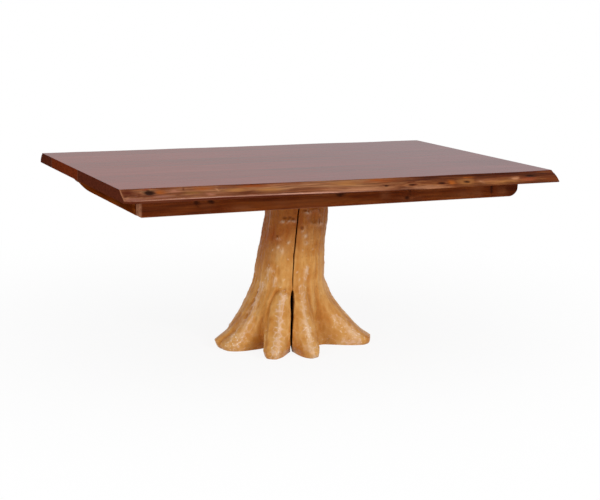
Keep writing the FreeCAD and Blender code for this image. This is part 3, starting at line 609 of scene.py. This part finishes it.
# Lighter patches on the front rail: place along, distance below its top, half sizes, tone
RAIL_PATCHES = (
    (-0.7, 0.068, 0.04, 0.006, "rail"), (-0.55, 0.05, 0.03, 0.007, "rail"),
    (0.195, 0.04, 0.02, 0.016, "rail"), (0.31, 0.062, 0.06, 0.008, "rail"),
    (0.12, 0.066, 0.04, 0.006, "rail"), (-0.42, 0.06, 0.05, 0.008, "rail"),
    (0.56, 0.05, 0.05, 0.012, "rail"), (-0.25, 0.05, 0.06, 0.008, "rail"),
    (0.62, 0.046, 0.03, 0.02, "rail"), (0.735, 0.05, 0.022, 0.016, "rail"),
)


def rounded_section(low_y, high_y, low_z, high_z, ease):
    # a closed rail section, y and z, with the two lower corners eased; each row also carries
    # how much of an eased corner it is
    rows = []
    turns = 5

    def corner(centre_y, start):
        for step in range(turns + 1):
            angle = math.radians(start + 90 * step / turns)
            rows.append((centre_y + ease * math.cos(angle),
                         low_z + ease + ease * math.sin(angle),
                         math.sin(math.pi * step / turns)))

    corner(low_y + ease, 180)
    rows += [(mixed(low_y + ease, high_y - ease, part), low_z, 0.0) for part in (0.25, 0.5, 0.75)]
    corner(high_y - ease, 270)
    rows += [(high_y, mixed(low_z + ease, high_z, part), 0.0) for part in (0.25, 0.5, 0.75, 1.0)]
    rows += [(mixed(high_y, low_y, part), high_z, 0.0) for part in (0.5, 1.0)]
    rows += [(low_y, mixed(high_z, low_z + ease, part), 0.0) for part in (0.2, 0.4, 0.6, 0.8)]
    return rows


def swept_rail(name, stations, section_at, knots, patches, seed, face_axis):
    # stations along the rail; section_at gives the closed section and the end's worn share
    points = []
    marks = {"knot": [], "tint": [], "tinted": [], "swerve": [], "wear_and_highlight": []}
    for along in stations:
        rows, end_wear_and_highlight = section_at(along)
        for out, z, corner in rows:
            knot = swerve = 0.0
            drop = RAIL_TOP - z
            for kx, ky, hx, hy in knots:
                wobble = 1 + 0.3 * turbulence(along * 50, drop * 80, kx * 5 + seed, 3)
                knot = max(knot, 0.66 * spot(along, drop, kx, ky, hx * wobble, hy * wobble))
                swerve += 0.004 * spot(along, drop, kx, ky, hx * 2.5, hy * 2.5)
            out += 0.0005 * turbulence(along * 6, z * 14, seed, 3)
            points.append((along, out, z) if face_axis == "Y" else (out, along, z))
            share = clamp(turbulence(along * 4, z * 20, seed + 3, 2) - 0.1) * 0.45
            stray = along + 0.02 * turbulence(along * 30, z * 60, seed, 2)
            tint = Vector(TONES["rail"])
            for ax, ay, hx, hy, tone in patches:
                near = 0.85 * spot(stray, drop, ax, ay, hx, hy)
                tint = tint.lerp(Vector(TONES[tone]), near / max(near + share, 1e-6))
                share = max(share, near)
            # the eased lower corners take the lighter tone, partly wear and partly a painted
            # highlight
            note(marks, knot, tuple(tint), share, swerve, clamp(max(corner * 0.8, end_wear_and_highlight)))
    order = (0, 3, 2, 1) if face_axis == "Y" else (1, 2, 3, 0)
    piece = mesh_piece(name, points, tube_faces(points, len(stations), order), marks, 32.0)
    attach(piece, "root")
    return piece


def quarter(steps):
    return [math.radians(90 * step / steps) for step in range(steps + 1)]


def long_rail(name, node, way, seed, knots, patches=(), out_of_true=0.0):
    # way is 1 where the round free end points to +X, and -1 where it points to -X; the lower
    # edge runs a little out of true
    low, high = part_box(node)
    end_round = 0.042
    other_round = 0.011
    half = high[0]
    round_start = half - end_round
    other_start = -half + other_round
    stations = [-half + other_round * (1 - math.cos(angle)) for angle in quarter(18)]
    stations += [mixed(other_start, round_start, step / 200) for step in range(1, 200)]
    stations += [round_start + end_round * math.sin(angle) for angle in quarter(24)]

    def section_at(along):
        along *= way
        bottom = low[2] + out_of_true * along / half
        inset = 0.0
        end_wear_and_highlight = 0.0
        if along > round_start:
            run = along - round_start
            bottom += end_round - math.sqrt(max(end_round ** 2 - run ** 2, 0.0))
        if along < other_start:
            run = other_start - along
            drop = other_round - math.sqrt(max(other_round ** 2 - run ** 2, 0.0))
            bottom += drop * 0.9
            inset = drop * 0.75
            # the rounded end is painted lighter: partly wear, partly a painted highlight on the
            # rounding
            end_wear_and_highlight = smooth(run, -0.002, other_round * 0.7)
        if along > half - 0.004:
            inset = 0.003 * smooth(along, half - 0.004, half)
        bottom = min(bottom, high[2] - 0.02)
        rows = rounded_section(low[1] + inset, high[1] - inset, bottom, high[2], RAIL_EASE)
        return rows, end_wear_and_highlight

    stations = sorted(way * value for value in stations)
    piece = swept_rail(name, stations, section_at, knots, patches, seed, "Y")
    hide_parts(node)
    return piece


def end_rail(name, node, way, seed):
    # way is 1 where the taper runs up towards +Y, and -1 where it runs up towards -Y
    low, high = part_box(node)
    half = -RAIL_INSIDE
    taper_run, taper_rise = 0.22, 0.028
    radius = (taper_run ** 2 + taper_rise ** 2) / (2 * taper_rise)
    stations = [mixed(-half, half, step / 150) for step in range(151)]

    def section_at(along):
        bottom = low[2]
        run = way * along - (half - taper_run)
        if run > 0:
            bottom += radius - math.sqrt(radius ** 2 - run ** 2)
        return rounded_section(low[0], high[0], bottom, high[2], RAIL_EASE), 0.0

    # painted shade on the end rail below the top and beside its front end, a painted varnish glint
    # near the front end, and a reddish strip along the lower edge
    patches = (
        (-0.23 * way, 0.03, 0.13, 0.034, "shade"), (-0.43 * way, 0.008, 0.03, 0.024, "shade"),
        (-0.395 * way, 0.052, 0.012, 0.013, "orange"), (-0.15 * way, 0.072, 0.04, 0.006, "rust"),
    )
    piece = swept_rail(name, stations, section_at, (), patches, seed, "X")
    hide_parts(node)
    return piece


# the lighter tone on eased corners is partly wear and partly a painted highlight
rail_finish = dict(knots=True, ring_scale=24.0, end_colour=END_GRAIN, streaks=0.8,
                   wear_and_highlight=(0.36, 0.155, 0.08), coat_roughness=0.3, specular=0.0)
front_rail_paint = board_wood("front_rail_wood", RAIL_WOOD, (4.4, 0.7, 0.0), (0.0, 0.4, -0.6),
                              coat=0.07, **rail_finish)
back_rail_paint = board_wood("back_rail_wood", RAIL_WOOD, (9.4, 3.7, 0.0), (0.0, -0.5, -0.6),
                             coat=0.07, **rail_finish)
# the end rails take the rails' palette darkened, a painted shade
end_rail_paint = board_wood("end_rail_wood", tinted(RAIL_WOOD, 0.85), (2.4, 5.7, 0.0),
                            (0.0, 0.75, -0.6), along="Y", **rail_finish)
for piece, paint in (
    (long_rail("apron_front", "rail_front", 1, 2.2, RAIL_KNOTS, RAIL_PATCHES, 0.0018),
     front_rail_paint),
    (long_rail("apron_back", "rail_back", -1, 5.2, ((0.21, 0.03, 0.014, 0.008),)),
     back_rail_paint),
    (end_rail("apron_left", "end_rail_left", 1, 8.2), end_rail_paint),
    (end_rail("apron_right", "end_rail_right", -1, 11.2), end_rail_paint),
):
    piece.data.materials.append(paint)


# The frame under the top and its steel

batten_paint = board_wood("batten_wood", FRAME_WOOD, (1.1, 2.2, 0.0), (0.0, 0.9, -0.5),
                          along="Y", specular=0.3)
block_paint = board_wood("corner_block_wood", FRAME_WOOD, (3.1, 5.2, 0.0), (0.0, 0.3, -0.5),
                         specular=0.3)
for node in ("batten_left", "batten_inner_left", "batten_inner_right", "batten_right"):
    repaint(node, batten_paint)
for node in ("front_left", "front_right", "back_right", "back_left"):
    repaint(f"corner_block_{node}", block_paint)
repaint("pedestal_plate", steel("plate_powder_coat", (0.02, 0.02, 0.021), 0.5, 0.0, 0.35))
screw_paint = steel("screw_zinc", (0.62, 0.61, 0.57), 0.34, 1.0, 0.15)
for node in ("lag_screws", "plate_screws", "batten_screws"):
    repaint(node, screw_paint)


# The stump

TRUNK_X, TRUNK_Y, TRUNK_RADIUS, COLLAR_SWELL = 0.016, -0.007, 0.131, 0.031
ROOT_REACH, FLARE_HEIGHT = 0.185, 0.3
# The trunk's lean: share of the height, share of the way to the sawn top's centre
LEAN = ((0.0, 0.0), (0.2, -0.5), (0.35, -0.56), (0.585, -0.15), (0.78, 0.63), (1.0, 1.0))
# Slow flutes round the trunk: lobes in a turn, share of the radius, turn
FLUTES = ((2, 0.02, 40.0), (3, 0.022, 100.0), (5, 0.012, 15.0))
# Compass turn, half width, reach, height, squareness and fall of each root
ROOTS = (
    (-173.0, 20.0, 1.0, 1.0, 3.6, 2.1),
    (-126.7, 9.8, 0.97, 0.86, 3.0, 1.35),
    (-96.7, 11.4, 0.9, 1.0, 3.0, 1.35),
    (-31.0, 15.0, 1.0, 0.93, 3.0, 1.75),
    (20.0, 13.0, 0.86, 0.85, 2.8, 1.5),
    (76.0, 15.0, 0.93, 1.0, 3.0, 1.5),
    (130.0, 12.5, 0.69, 0.9, 2.8, 1.5),
)
# The drying check: share of the height, compass turn, half mouth, depth
CHECK = (
    (0.0, -112.6, 0.004, 0.095),
    (0.08, -112.2, 0.0042, 0.092),
    (0.165, -110.9, 0.0055, 0.088),
    (0.26, -109.4, 0.0072, 0.08),
    (0.34, -108.5, 0.0078, 0.066),
    (0.364, -108.3, 0.0058, 0.056),
    (0.378, -108.1, 0.001, 0.016),
    (0.4, -107.9, 0.0018, 0.03),
    (0.48, -107.9, 0.0024, 0.04),
    (0.58, -108.2, 0.0028, 0.044),
    (0.8, -109.2, 0.0032, 0.048),
    (1.0, -105.4, 0.0035, 0.048),
)
# Ridges (lifted) and creases (sunk) that run over the wood: lift, half width, and the
# compass turns and heights they pass
# the lifted ridges also carry a painted highlight, the sunk creases a painted shade
SEAMS = (
    (-0.0022, 0.009, ((-105.2, 0.02), (-105.8, 0.1), (-106.4, 0.155))),
    (-0.003, 0.012, ((-137.5, 0.02), (-138.0, 0.1), (-136.0, 0.17))),
    (0.0065, 0.012, ((-85, 0.33), (-90, 0.29), (-94, 0.25), (-97, 0.16), (-97, 0.1), (-98, 0.0))),
    (0.005, 0.012, ((-121, 0.23), (-123, 0.17), (-122, 0.12), (-124, 0.0))),
    (0.004, 0.018, ((-158, 0.26), (-159, 0.2), (-159, 0.12), (-160, 0.03))),
    (0.0008, 0.016, ((-148, 0.32), (-143, 0.29), (-136, 0.28))),
    (0.0025, 0.016, ((-158, 0.62), (-156, 0.56), (-159, 0.47))),
    (0.004, 0.014, ((-46, 0.11), (-44, 0.06), (-44, 0.02))),
    (0.006, 0.016, ((-20, 0.24), (-24, 0.12), (-22, 0.0))),
    (0.005, 0.014, ((70, 0.3), (73, 0.15), (68, 0.0))),
    (0.005, 0.012, ((84, 0.26), (85, 0.1), (88, 0.0))),
    (0.005, 0.012, ((128, 0.24), (132, 0.1), (130, 0.0))),
    (0.005, 0.014, ((18, 0.24), (22, 0.1), (19, 0.0))),
    (-0.0085, 0.0055, ((-115, 0.236), (-120, 0.248), (-127, 0.25), (-132, 0.24), (-136, 0.22),
                       (-137, 0.19), (-136, 0.15), (-134, 0.1), (-132, 0.05), (-132, 0.0))),
    (-0.006, 0.009, ((-83, 0.24), (-83, 0.18), (-82, 0.12), (-88, 0.06), (-89, 0.0))),
    (-0.005, 0.01, ((-166, 0.075), (-171, 0.045), (-172, 0.02), (-171, 0.0))),
    (-0.005, 0.008, ((-144, 0.13), (-146, 0.07), (-147, 0.0))),
    (-0.005, 0.01, ((-164, 0.26), (-166, 0.19), (-163, 0.12))),
    (-0.0045, 0.009, ((-32, 0.17), (-34, 0.09), (-33, 0.03))),
    (-0.004, 0.01, ((-62, 0.34), (-66, 0.22), (-63, 0.12))),
    (-0.006, 0.008, ((79, 0.22), (78, 0.1), (79, 0.0))),
    (-0.005, 0.01, ((-10, 0.4), (-4, 0.25), (-2, 0.12))),
    (-0.005, 0.01, ((100, 0.42), (106, 0.25), (108, 0.1))),
    (-0.005, 0.01, ((160, 0.45), (158, 0.28), (155, 0.12))),
    (-0.005, 0.01, ((45, 0.44), (48, 0.28), (46, 0.1))),
)
# Toes and knuckles: compass turn, height, half sizes round and up, lift
LUMPS = (
    (-178, 0.04, 0.02, 0.013, 0.007), (-169, 0.018, 0.022, 0.012, 0.006),
    (-172, 0.034, 0.009, 0.01, -0.005), (-186, 0.06, 0.036, 0.028, -0.012),
    (-162, 0.012, 0.04, 0.022, 0.004),
    (-124, 0.232, 0.022, 0.016, 0.006), (-100, 0.018, 0.03, 0.022, 0.006),
    (-126, 0.014, 0.028, 0.02, 0.005), (-38, 0.02, 0.03, 0.022, 0.006),
    (-25, 0.06, 0.036, 0.03, -0.007), (70, 0.02, 0.03, 0.02, 0.008),
    (132, 0.02, 0.03, 0.02, 0.008), (18, 0.025, 0.03, 0.02, 0.008),
    (-182, 0.31, 0.07, 0.06, 0.006), (-199, 0.54, 0.06, 0.04, -0.006),
    (-208, 0.403, 0.04, 0.014, -0.004),
    (-27, 0.53, 0.05, 0.05, 0.003),
)
# Scars of twigs and knots: compass turn, height, half sizes round and up, lift
SCARS = (
    (-133, 0.53, 0.01, 0.005, 0.0035), (-124, 0.533, 0.013, 0.006, 0.004),
    (-117, 0.532, 0.009, 0.005, 0.0035), (-98, 0.5, 0.006, 0.01, 0.003),
    (-91, 0.57, 0.01, 0.008, 0.004), (-62, 0.515, 0.012, 0.007, 0.003),
    (-138, 0.46, 0.009, 0.006, 0.004), (-129, 0.41, 0.007, 0.009, 0.0035),
    (-135, 0.425, 0.006, 0.006, 0.003), (-121, 0.445, 0.006, 0.005, 0.003),
    (-92, 0.47, 0.008, 0.006, 0.004), (-88, 0.44, 0.008, 0.006, 0.0035),
    (-146, 0.33, 0.007, 0.008, 0.003), (-140, 0.32, 0.006, 0.006, 0.003),
    (60, 0.48, 0.016, 0.012, 0.005), (150, 0.4, 0.014, 0.012, 0.005),
    (-5, 0.52, 0.012, 0.01, 0.004), (100, 0.56, 0.012, 0.01, 0.004),
)
# Dark pits: compass turn, height, half sizes round and up
PITS = (
    (-131, 0.547, 0.009, 0.005), (-123, 0.55, 0.008, 0.005), (-117, 0.545, 0.006, 0.004),
    (-97, 0.578, 0.008, 0.005), (-62, 0.53, 0.004, 0.014), (-100, 0.505, 0.006, 0.008),
    (-141, 0.47, 0.006, 0.004), (-166, 0.225, 0.006, 0.004), (-164, 0.19, 0.004, 0.005),
    (40, 0.51, 0.008, 0.006), (140, 0.48, 0.008, 0.006),
)
# Painted glints, small bright spots: compass turn and height
GLINT_SPOTS = (
    (-145, 0.41), (-94, 0.41), (-72, 0.41), (-145, 0.335), (-139, 0.31), (-149, 0.345),
    (-87, 0.32), (-80, 0.31), (-97, 0.29), (-153, 0.29), (-172, 0.27), (-126, 0.26),
    (-122, 0.29), (-101, 0.32), (-134, 0.345), (-118, 0.375), (30, 0.36), (95, 0.3),
    (150, 0.34), (-20, 0.33), (60, 0.27), (175, 0.3),
)
# One large oval scar with a raised rim
RIM_SCAR = (-76, 0.545, 0.036, 0.036, 0.0035)

# A root ends in a blunt toe: where it begins as a share of the height left, and how far it tucks
TOE_START = 0.9
TOE_TUCK = 0.05


def root_profile(left, fall):
    if left <= 0:
        return 0.0
    if left < TOE_START:
        return (left / TOE_START) ** fall
    return 1 - TOE_TUCK * ((left - TOE_START) / (1 - TOE_START)) ** 2


def turn_apart(a, b):
    return (a - b + 180) % 360 - 180


def stump_shape(turn, level):
    # plain radius, and how strongly a root stands here
    swell = (1 + math.cos(math.pi * level ** 0.9)) / 2
    radius = TRUNK_RADIUS + swell * COLLAR_SWELL
    wave = 1.0
    for lobes, share, start in FLUTES:
        wave += share * math.cos(math.radians(lobes * (turn - start)))
    radius *= wave
    rootness = 0.0
    for root_turn, half_width, reach, tall, squareness, fall in ROOTS:
        gone = level * STUMP_HEIGHT / (tall * FLARE_HEIGHT)
        wide = half_width * (1 + 0.9 * gone)
        apart = abs(turn_apart(turn, root_turn)) / wide
        lobe = math.exp(-math.log(2) * apart ** (squareness - min(gone, 1)))
        out = reach * root_profile(1 - gone, fall) * lobe
        radius += out * ROOT_REACH
        rootness += out
    return radius, rootness


def seam_pull(turn, height, radius, path):
    # distance from the path over the surface
    nearest = 9.0
    for (turn_a, high_a), (turn_b, high_b) in zip(path, path[1:]):
        ax = math.radians(turn_apart(turn, turn_a)) * radius
        bx = math.radians(turn_apart(turn_b, turn_a)) * radius
        ay = height - high_a
        by = high_b - high_a
        share = clamp((ax * bx + ay * by) / max(bx * bx + by * by, 1e-9))
        nearest = min(nearest, math.hypot(ax - share * bx, ay - share * by))
    return nearest


SEAM_SPANS = [
    (min(h for t, h in path) - 3 * wide, max(h for t, h in path) + 3 * wide,
     sum(t for t, h in path) / len(path), lift, wide, path)
    for lift, wide, path in SEAMS
]


def oval(at, where, high, half_round, half_up):
    # squared distance from an oval's middle in its half sizes, endless when far away
    turn, height, radius = at
    across = math.radians(turn_apart(turn, where)) * radius
    if abs(across) < 3 * half_round and abs(height - high) < 3 * half_up:
        return (across / half_round) ** 2 + ((height - high) / half_up) ** 2
    return math.inf


def stump_detail(turn, height, radius, rootness):
    # how far the surface stands off the plain shape, and the tones that go with it, painted
    # highlight and shade among them
    angle = math.radians(turn)
    cx, cy = math.cos(angle), math.sin(angle)
    at = (turn, height, radius)
    foot = 1 - smooth(height, 0.0, 0.3)
    toe = clamp(rootness) * foot
    out = 0.0
    crest_highlight = crease_shade = pale = 0.0
    for low, high, middle, lift, wide, path in SEAM_SPANS:
        if low < height < high and abs(turn_apart(turn, middle)) < 32:
            near = seam_pull(turn, height, radius, path) / wide
            if near < 3:
                pull = math.exp(-0.7 * near ** 2)
                out += lift * pull
                if lift > 0:
                    crest_highlight = max(crest_highlight, pull)
                else:
                    crease_shade = max(crease_shade, pull)
    for *place, lift in LUMPS:
        out += lift * math.exp(-0.8 * oval(at, *place))
    for *place, lift in SCARS:
        pull = math.exp(-0.8 * oval(at, *place) ** 0.8)
        out += lift * pull
        pale = max(pale, pull)
    # painted glints: small bright spots, a little raised
    for where, high in GLINT_SPOTS:
        across = math.radians(turn_apart(turn, where)) * radius
        if abs(across) < 0.012 and abs(height - high) < 0.012:
            wide = 0.0022 + 0.0018 * (where * 0.37 % 1.0)
            tall = 0.003 + 0.0022 * (where * 0.61 % 1.0)
            leaning = across + 0.9 * (height - high) * math.sin(where)
            pull = math.exp(-0.9 * ((leaning / wide) ** 2 + ((height - high) / tall) ** 2))
            out += 0.002 * pull
            pale = max(pale, 0.9 * pull)
    for place in PITS:
        pull = math.exp(-0.8 * oval(at, *place))
        out -= 0.0025 * pull
        pale = min(pale, -pull) if pull > 0.2 else pale
    where, high, half_round, half_up, lift = RIM_SCAR
    across = math.radians(turn_apart(turn, where)) * radius
    ring = math.hypot(across / half_round, (height - high) / half_up)
    ring += 0.18 * turbulence(across * 40, height * 40, 3.0, 2)
    rim = math.exp(-14 * (ring - 0.85) ** 2)
    out += lift * (rim - 0.8 * math.exp(-3 * ring ** 2))
    pale = max(pale, 0.12 * rim) if pale >= 0 else pale
    # peeled wood: scallops with soft crests between them, lumps, furrows and ripples
    bend = Vector((noise.noise(Vector((cx * 5, cy * 5, height * 18))),
                   noise.noise(Vector((cx * 5 + 9, cy * 5, height * 18))),
                   noise.noise(Vector((cx * 5, cy * 5 + 9, height * 14))))) * 0.5
    spot_at = Vector((cx * radius * 44, cy * radius * 44, height * 27)) + bend
    near, following = noise.voronoi(spot_at)[0][:2]
    scallop = near ** 2 * 0.9 - 0.25
    crest = 1 - smooth(following - near, 0.0, 0.22)
    lump = turbulence(cx * radius * 13, cy * radius * 13, height * 13, 3)
    broad = turbulence(cx * 2.1 + 4, cy * 2.1, height * 3.4, 2)
    furrow = turbulence(cx * 9 + 1.3, cy * 9, height * 4.2, 3)
    fine = turbulence(cx * 30, cy * 30, height * 30 + 3, 3)
    dents = turbulence(cx * radius * 60, cy * radius * 60, height * 60, 3)
    calm = smooth(height, 0.45, 0.62)
    out += 0.0046 * broad + 0.004 * lump * (0.5 + toe) + 0.0026 * furrow
    out += (0.002 * scallop + 0.001 * fine + 0.0012 * dents) * (1 - 0.35 * calm)
    ripple_area = math.exp(-((turn_apart(turn, -76) / 12) ** 2 + ((height - 0.4) / 0.09) ** 2))
    out += 0.0007 * ripple_area * math.sin(height * 2 * math.pi / 0.0145)
    # lighter on crests and on the roots near the floor, darker in creases: grain tone mixed with
    # painted highlight and painted shade
    ridge_and_crease_shading = clamp(0.42 + 0.5 * scallop + 0.25 * furrow + 0.25 * lump
                  + 0.3 * (rootness - 0.45) * foot + 0.25 * crest_highlight - 0.45 * crease_shade)
    # the painted highlight along the lifted seams and the scallops' crests, kept below the upper
    # trunk
    crest_highlight = clamp(crest_highlight * (0.5 + 0.9 * crest) + 0.35 * crest * (0.4 + foot))
    crest_highlight *= 1 - 0.85 * smooth(height, 0.36, 0.46)
    return out, ridge_and_crease_shading, crest_highlight, pale


def stump():
    levels = 270
    column_step = 0.8
    columns = []
    turn = -180.0
    while turn < 180.0:
        columns.append(turn)
        turn += column_step
    middle = -110.5
    check_reach = 6.2
    marks = [(value, None) for value in columns if abs(value - middle) > check_reach]
    half_check = (0.2, 0.5, 0.8, 0.97, 1.0, 1.3, 1.7, 2.2, 2.8, 3.5, 4.4, 5.4)
    check_columns = [-part for part in half_check[::-1]] + [0.0] + list(half_check)
    marks += [(middle, part) for part in check_columns]
    marks.sort(key=lambda mark: mark[0] + (mark[1] or 0) * 0.001)
    turns, mouths, depths = ([(row[0], row[k]) for row in CHECK] for k in (1, 2, 3))
    points = []
    tones = {"flow": [], "ridge_and_crease_shading": [], "gap_shade": [], "crest_highlight": [], "pale": []}
    for row in range(levels + 1):
        level = (row / levels) ** 1.2
        height = level * STUMP_HEIGHT
        lean = along_table(LEAN, level)
        centre_x, centre_y = lean * TRUNK_X, lean * TRUNK_Y
        check_turn = along_table(turns, level) + 0.5 * turbulence(height * 14, 2.0, 1.0, 2)
        half_mouth = max(along_table(mouths, level), 0.0008)
        half_mouth *= 1 + 0.22 * turbulence(height * 22, 5.0, 1.0, 3)
        depth = max(along_table(depths, level), 0.012)
        half_turn = math.degrees(half_mouth / stump_shape(check_turn, level)[0])
        for value, part in marks:
            sunk = 0.0
            gap_shade = 0.0
            if part is None:
                near = smooth(26.0 - abs(turn_apart(value, middle)), 0, 20)
                turn = value + (check_turn - middle) * near
            elif abs(part) <= 1.0:
                turn = check_turn + part * half_turn
                sunk = depth * min(1.0, ((1.0 - abs(part)) / 0.85) ** 0.8)
                # the inside of the check is painted dark as shade
                gap_shade = smooth(sunk, 0.003, 0.04)
            else:
                step = (abs(part) - 1.0) / 4.4
                turn = check_turn + math.copysign(mixed(half_turn, 6.0, step), part)
                # the lips roll over into the gap
                sunk = 0.0035 * math.exp(-step * 14) * clamp(half_mouth / 0.006)
            radius, rootness = stump_shape(turn, level)
            out, ridge_and_crease_shading, crest_highlight, pale = stump_detail(turn, height, radius, rootness)
            cx, cy = math.cos(math.radians(turn)), math.sin(math.radians(turn))
            radius_now = radius + out * smooth(height, -0.012, 0.006) - sunk
            points.append((centre_x + cx * radius_now, centre_y + cy * radius_now, height))
            flow = (cx * 0.16, cy * 0.16, height * 0.9 + radius * 0.6)
            note(tones, flow, ridge_and_crease_shading, gap_shade, crest_highlight * (1 - gap_shade), pale)
    faces = tube_faces(points, levels + 1, (0, 1, 2, 3))
    piece = mesh_piece("root_stump", points, faces, tones, 50.0)
    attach(piece, "root")
    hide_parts("stump_pedestal")
    return piece


def stump_paint():
    paint = Paint("peeled_stump_wood")
    place = paint.place()
    flow = paint.attribute("flow", "Vector")
    streak = paint.grain(flow, (40.0, 40.0, 9.0), 4.0, 0.6, 0.6)
    blotch = paint.grain(place, (15.0, 15.0, 9.0), 4.0, 0.6, 0.8)
    broad = paint.grain(place, (5.0, 5.0, 4.0), 2.0, 0.5, 0.5)
    fleck = paint.grain(place, (95.0, 95.0, 60.0), 4.0, 0.7, 0.6)
    grit = paint.grain(place, (420.0, 420.0, 260.0), 3.0, 0.6)
    spark = paint.grain(place, (150.0, 150.0, 110.0), 3.0, 0.7, 0.4)
    crest_highlight = paint.attribute("crest_highlight")
    tone = paint.math("MULTIPLY_ADD", streak, 0.5, paint.times(blotch, 0.5))
    tone = paint.spread(paint.sway(paint.attribute("ridge_and_crease_shading"), 0.45, 0.42, tone), 0.16, 0.84)
    colour = paint.ramp(tone, (0.0, (0.4, 0.125, 0.016)), (0.3, (0.55, 0.225, 0.044)),
                        (0.6, (0.65, 0.325, 0.092)), (1.0, (0.75, 0.46, 0.19)))
    deep = paint.spread(fleck, 0.4, 0.28)
    colour = paint.mix(paint.times(deep, 0.5), colour, (0.36, 0.12, 0.02))
    # the upper trunk and some patches below are redder and darker, on the left from lower down:
    # partly the wood's colour, partly painted shade under the top with its reddish bounce light
    split = paint.split(place)
    height = paint.sway(broad, 0.5, 0.3, split["Z"])
    height = paint.math("MULTIPLY_ADD", split["X"], -0.35, height)
    red = paint.mix(tone, (0.3, 0.056, 0.004), (0.47, 0.145, 0.015))
    colour = paint.mix(paint.spread(height, 0.35, 0.54, 0.0, 0.92), colour, red)
    # painted sheen on the crests, then cream specks: painted glints on the crests and at the glint
    # spots, pale wood on the scars
    painted_sheen = paint.times(paint.spread(crest_highlight, 0.3, 0.8), paint.spread(streak, 0.4, 0.6))
    colour = paint.mix(paint.times(painted_sheen, 0.66), colour, (0.8, 0.54, 0.38))
    speck = paint.times(paint.spread(spark, 0.585, 0.63), paint.spread(crest_highlight, 0.25, 0.6))
    speck = paint.times(speck, paint.spread(blotch, 0.44, 0.56, 0.15, 1.0))
    marks = paint.attribute("pale")
    pale = paint.times(marks, paint.spread(fleck, 0.38, 0.55))
    speck = paint.math("MAXIMUM", speck, paint.times(pale, 0.5))
    colour = paint.mix(paint.spread(marks, -0.15, -0.8, 0.0, 0.75), colour, (0.2, 0.05, 0.008))
    colour = paint.mix(paint.math("MINIMUM", speck, 0.9), colour, (0.96, 0.8, 0.6))
    # the painted shade in the check ends at the sawn base
    gap_shade = paint.times(paint.attribute("gap_shade"), paint.spread(split["Z"], 0.0002, 0.0016))
    colour = paint.mix(gap_shade, colour, (0.02, 0.006, 0.002))
    bumps = paint.math("MULTIPLY_ADD", streak, 0.4, fleck)
    normal = paint.bump(bumps, 0.65, 0.004)
    normal = paint.bump(grit, 0.15, 0.0008, normal)
    roughness = paint.spread(fleck, 0.3, 0.7, 0.42, 0.24)
    return paint.finish(colour, roughness, normal, specular=0.11)


root_stump = stump()
root_stump.data.materials.append(stump_paint())


# Floor, light and camera

WHITE = (1.0, 1.0, 1.0, 1.0)


def seen_directly(nodes):
    # 1 for camera, glossy and transmitted rays, 0 for the rays that light the table
    path = nodes.add("LightPath").outputs
    seen = nodes.math("MAXIMUM", path["Is Camera Ray"], path["Is Glossy Ray"])
    return nodes.math("MAXIMUM", seen, path["Is Transmission Ray"])


def plain_floor():
    mesh = bpy.data.meshes.new("floor")
    half = 14.0
    mesh.from_pydata([(-half, -half, 0), (half, -half, 0), (half, half, 0), (-half, half, 0)], [],
                     [(0, 1, 2, 3)])
    floor = add_object("floor", mesh)
    floor.location.z = -0.0005
    material = bpy.data.materials.new("floor_white")
    nodes = Nodes(material)
    plain = nodes.add("BsdfDiffuse", {"Color": (0.86, 0.86, 0.86, 1.0)})
    glow = nodes.add("Emission", {"Color": WHITE, "Strength": 1.0})
    # seen directly, the floor is white, with a soft shadow left near the table
    away = nodes.add("VectorMath", {0: nodes.place()}, operation="LENGTH").outputs["Value"]
    fade = nodes.spread(away, 0.5, 2.6, 0.89, 1.0, interpolation_type="SMOOTHSTEP")
    inputs = {"Fac": nodes.times(seen_directly(nodes), fade), 1: plain.outputs["BSDF"],
              2: glow.outputs["Emission"]}
    nodes.add("OutputMaterial", {"Surface": nodes.add("MixShader", inputs).outputs["Shader"]})
    mesh.materials.append(material)


plain_floor()

world = bpy.data.worlds.new("studio")
bpy.context.scene.world = world
sky = Nodes(world)
strength = sky.spread(seen_directly(sky), 0.0, 1.0, 0.62, 1.0)
background = sky.add("Background", {"Color": WHITE, "Strength": strength})
sky.add("OutputWorld", {"Surface": background.outputs["Background"]})


def soft_lamp(name, place, side, power):
    # a square lamp that points at the table
    data = bpy.data.lights.new(name, "AREA")
    data.shape = "RECTANGLE"
    data.size = side
    data.size_y = side
    data.energy = power
    lamp = add_object(name, data)
    lamp.location = place
    aim = Vector((0.0, 0.0, 0.4)) - Vector(place)
    lamp.rotation_euler = aim.to_track_quat("-Z", "Y").to_euler()


soft_lamp("key", (1.6, -3.4, 2.3), 1.0, 60.0)
soft_lamp("fill", (-3.4, -2.6, 1.6), 1.8, 54.0)

# The camera stands where the photograph was taken from: place, then yaw, pitch and roll
CAMERA_PLACE = (-2.326, -5.118, 1.482)
CAMERA_TURNS = (24.82, -11.02, 1.03)
# The focal length, in pixels of a picture this many pixels wide
FOCAL_PIXELS = 1355.0
PICTURE_PIXELS = 600.0
yaw, pitch, roll = (math.radians(turn) for turn in CAMERA_TURNS)
forward = Vector((math.sin(yaw) * math.cos(pitch), math.cos(yaw) * math.cos(pitch),
                  math.sin(pitch)))
level_right = Vector((math.cos(yaw), -math.sin(yaw), 0.0))
level_up = level_right.cross(forward)
right = math.cos(roll) * level_right + math.sin(roll) * level_up
up = -math.sin(roll) * level_right + math.cos(roll) * level_up
camera_data = bpy.data.cameras.new("camera")
camera_data.sensor_fit = "HORIZONTAL"
camera_data.sensor_width = 36.0
camera_data.lens = FOCAL_PIXELS / PICTURE_PIXELS * camera_data.sensor_width
camera_data.clip_end = 60.0
camera = add_object("camera", camera_data)
turned = Matrix((right, up, -forward)).transposed()
camera.matrix_world = Matrix.Translation(CAMERA_PLACE) @ turned.to_4x4()
bpy.context.scene.camera = camera
bpy.context.scene.view_settings.view_transform = "Standard"
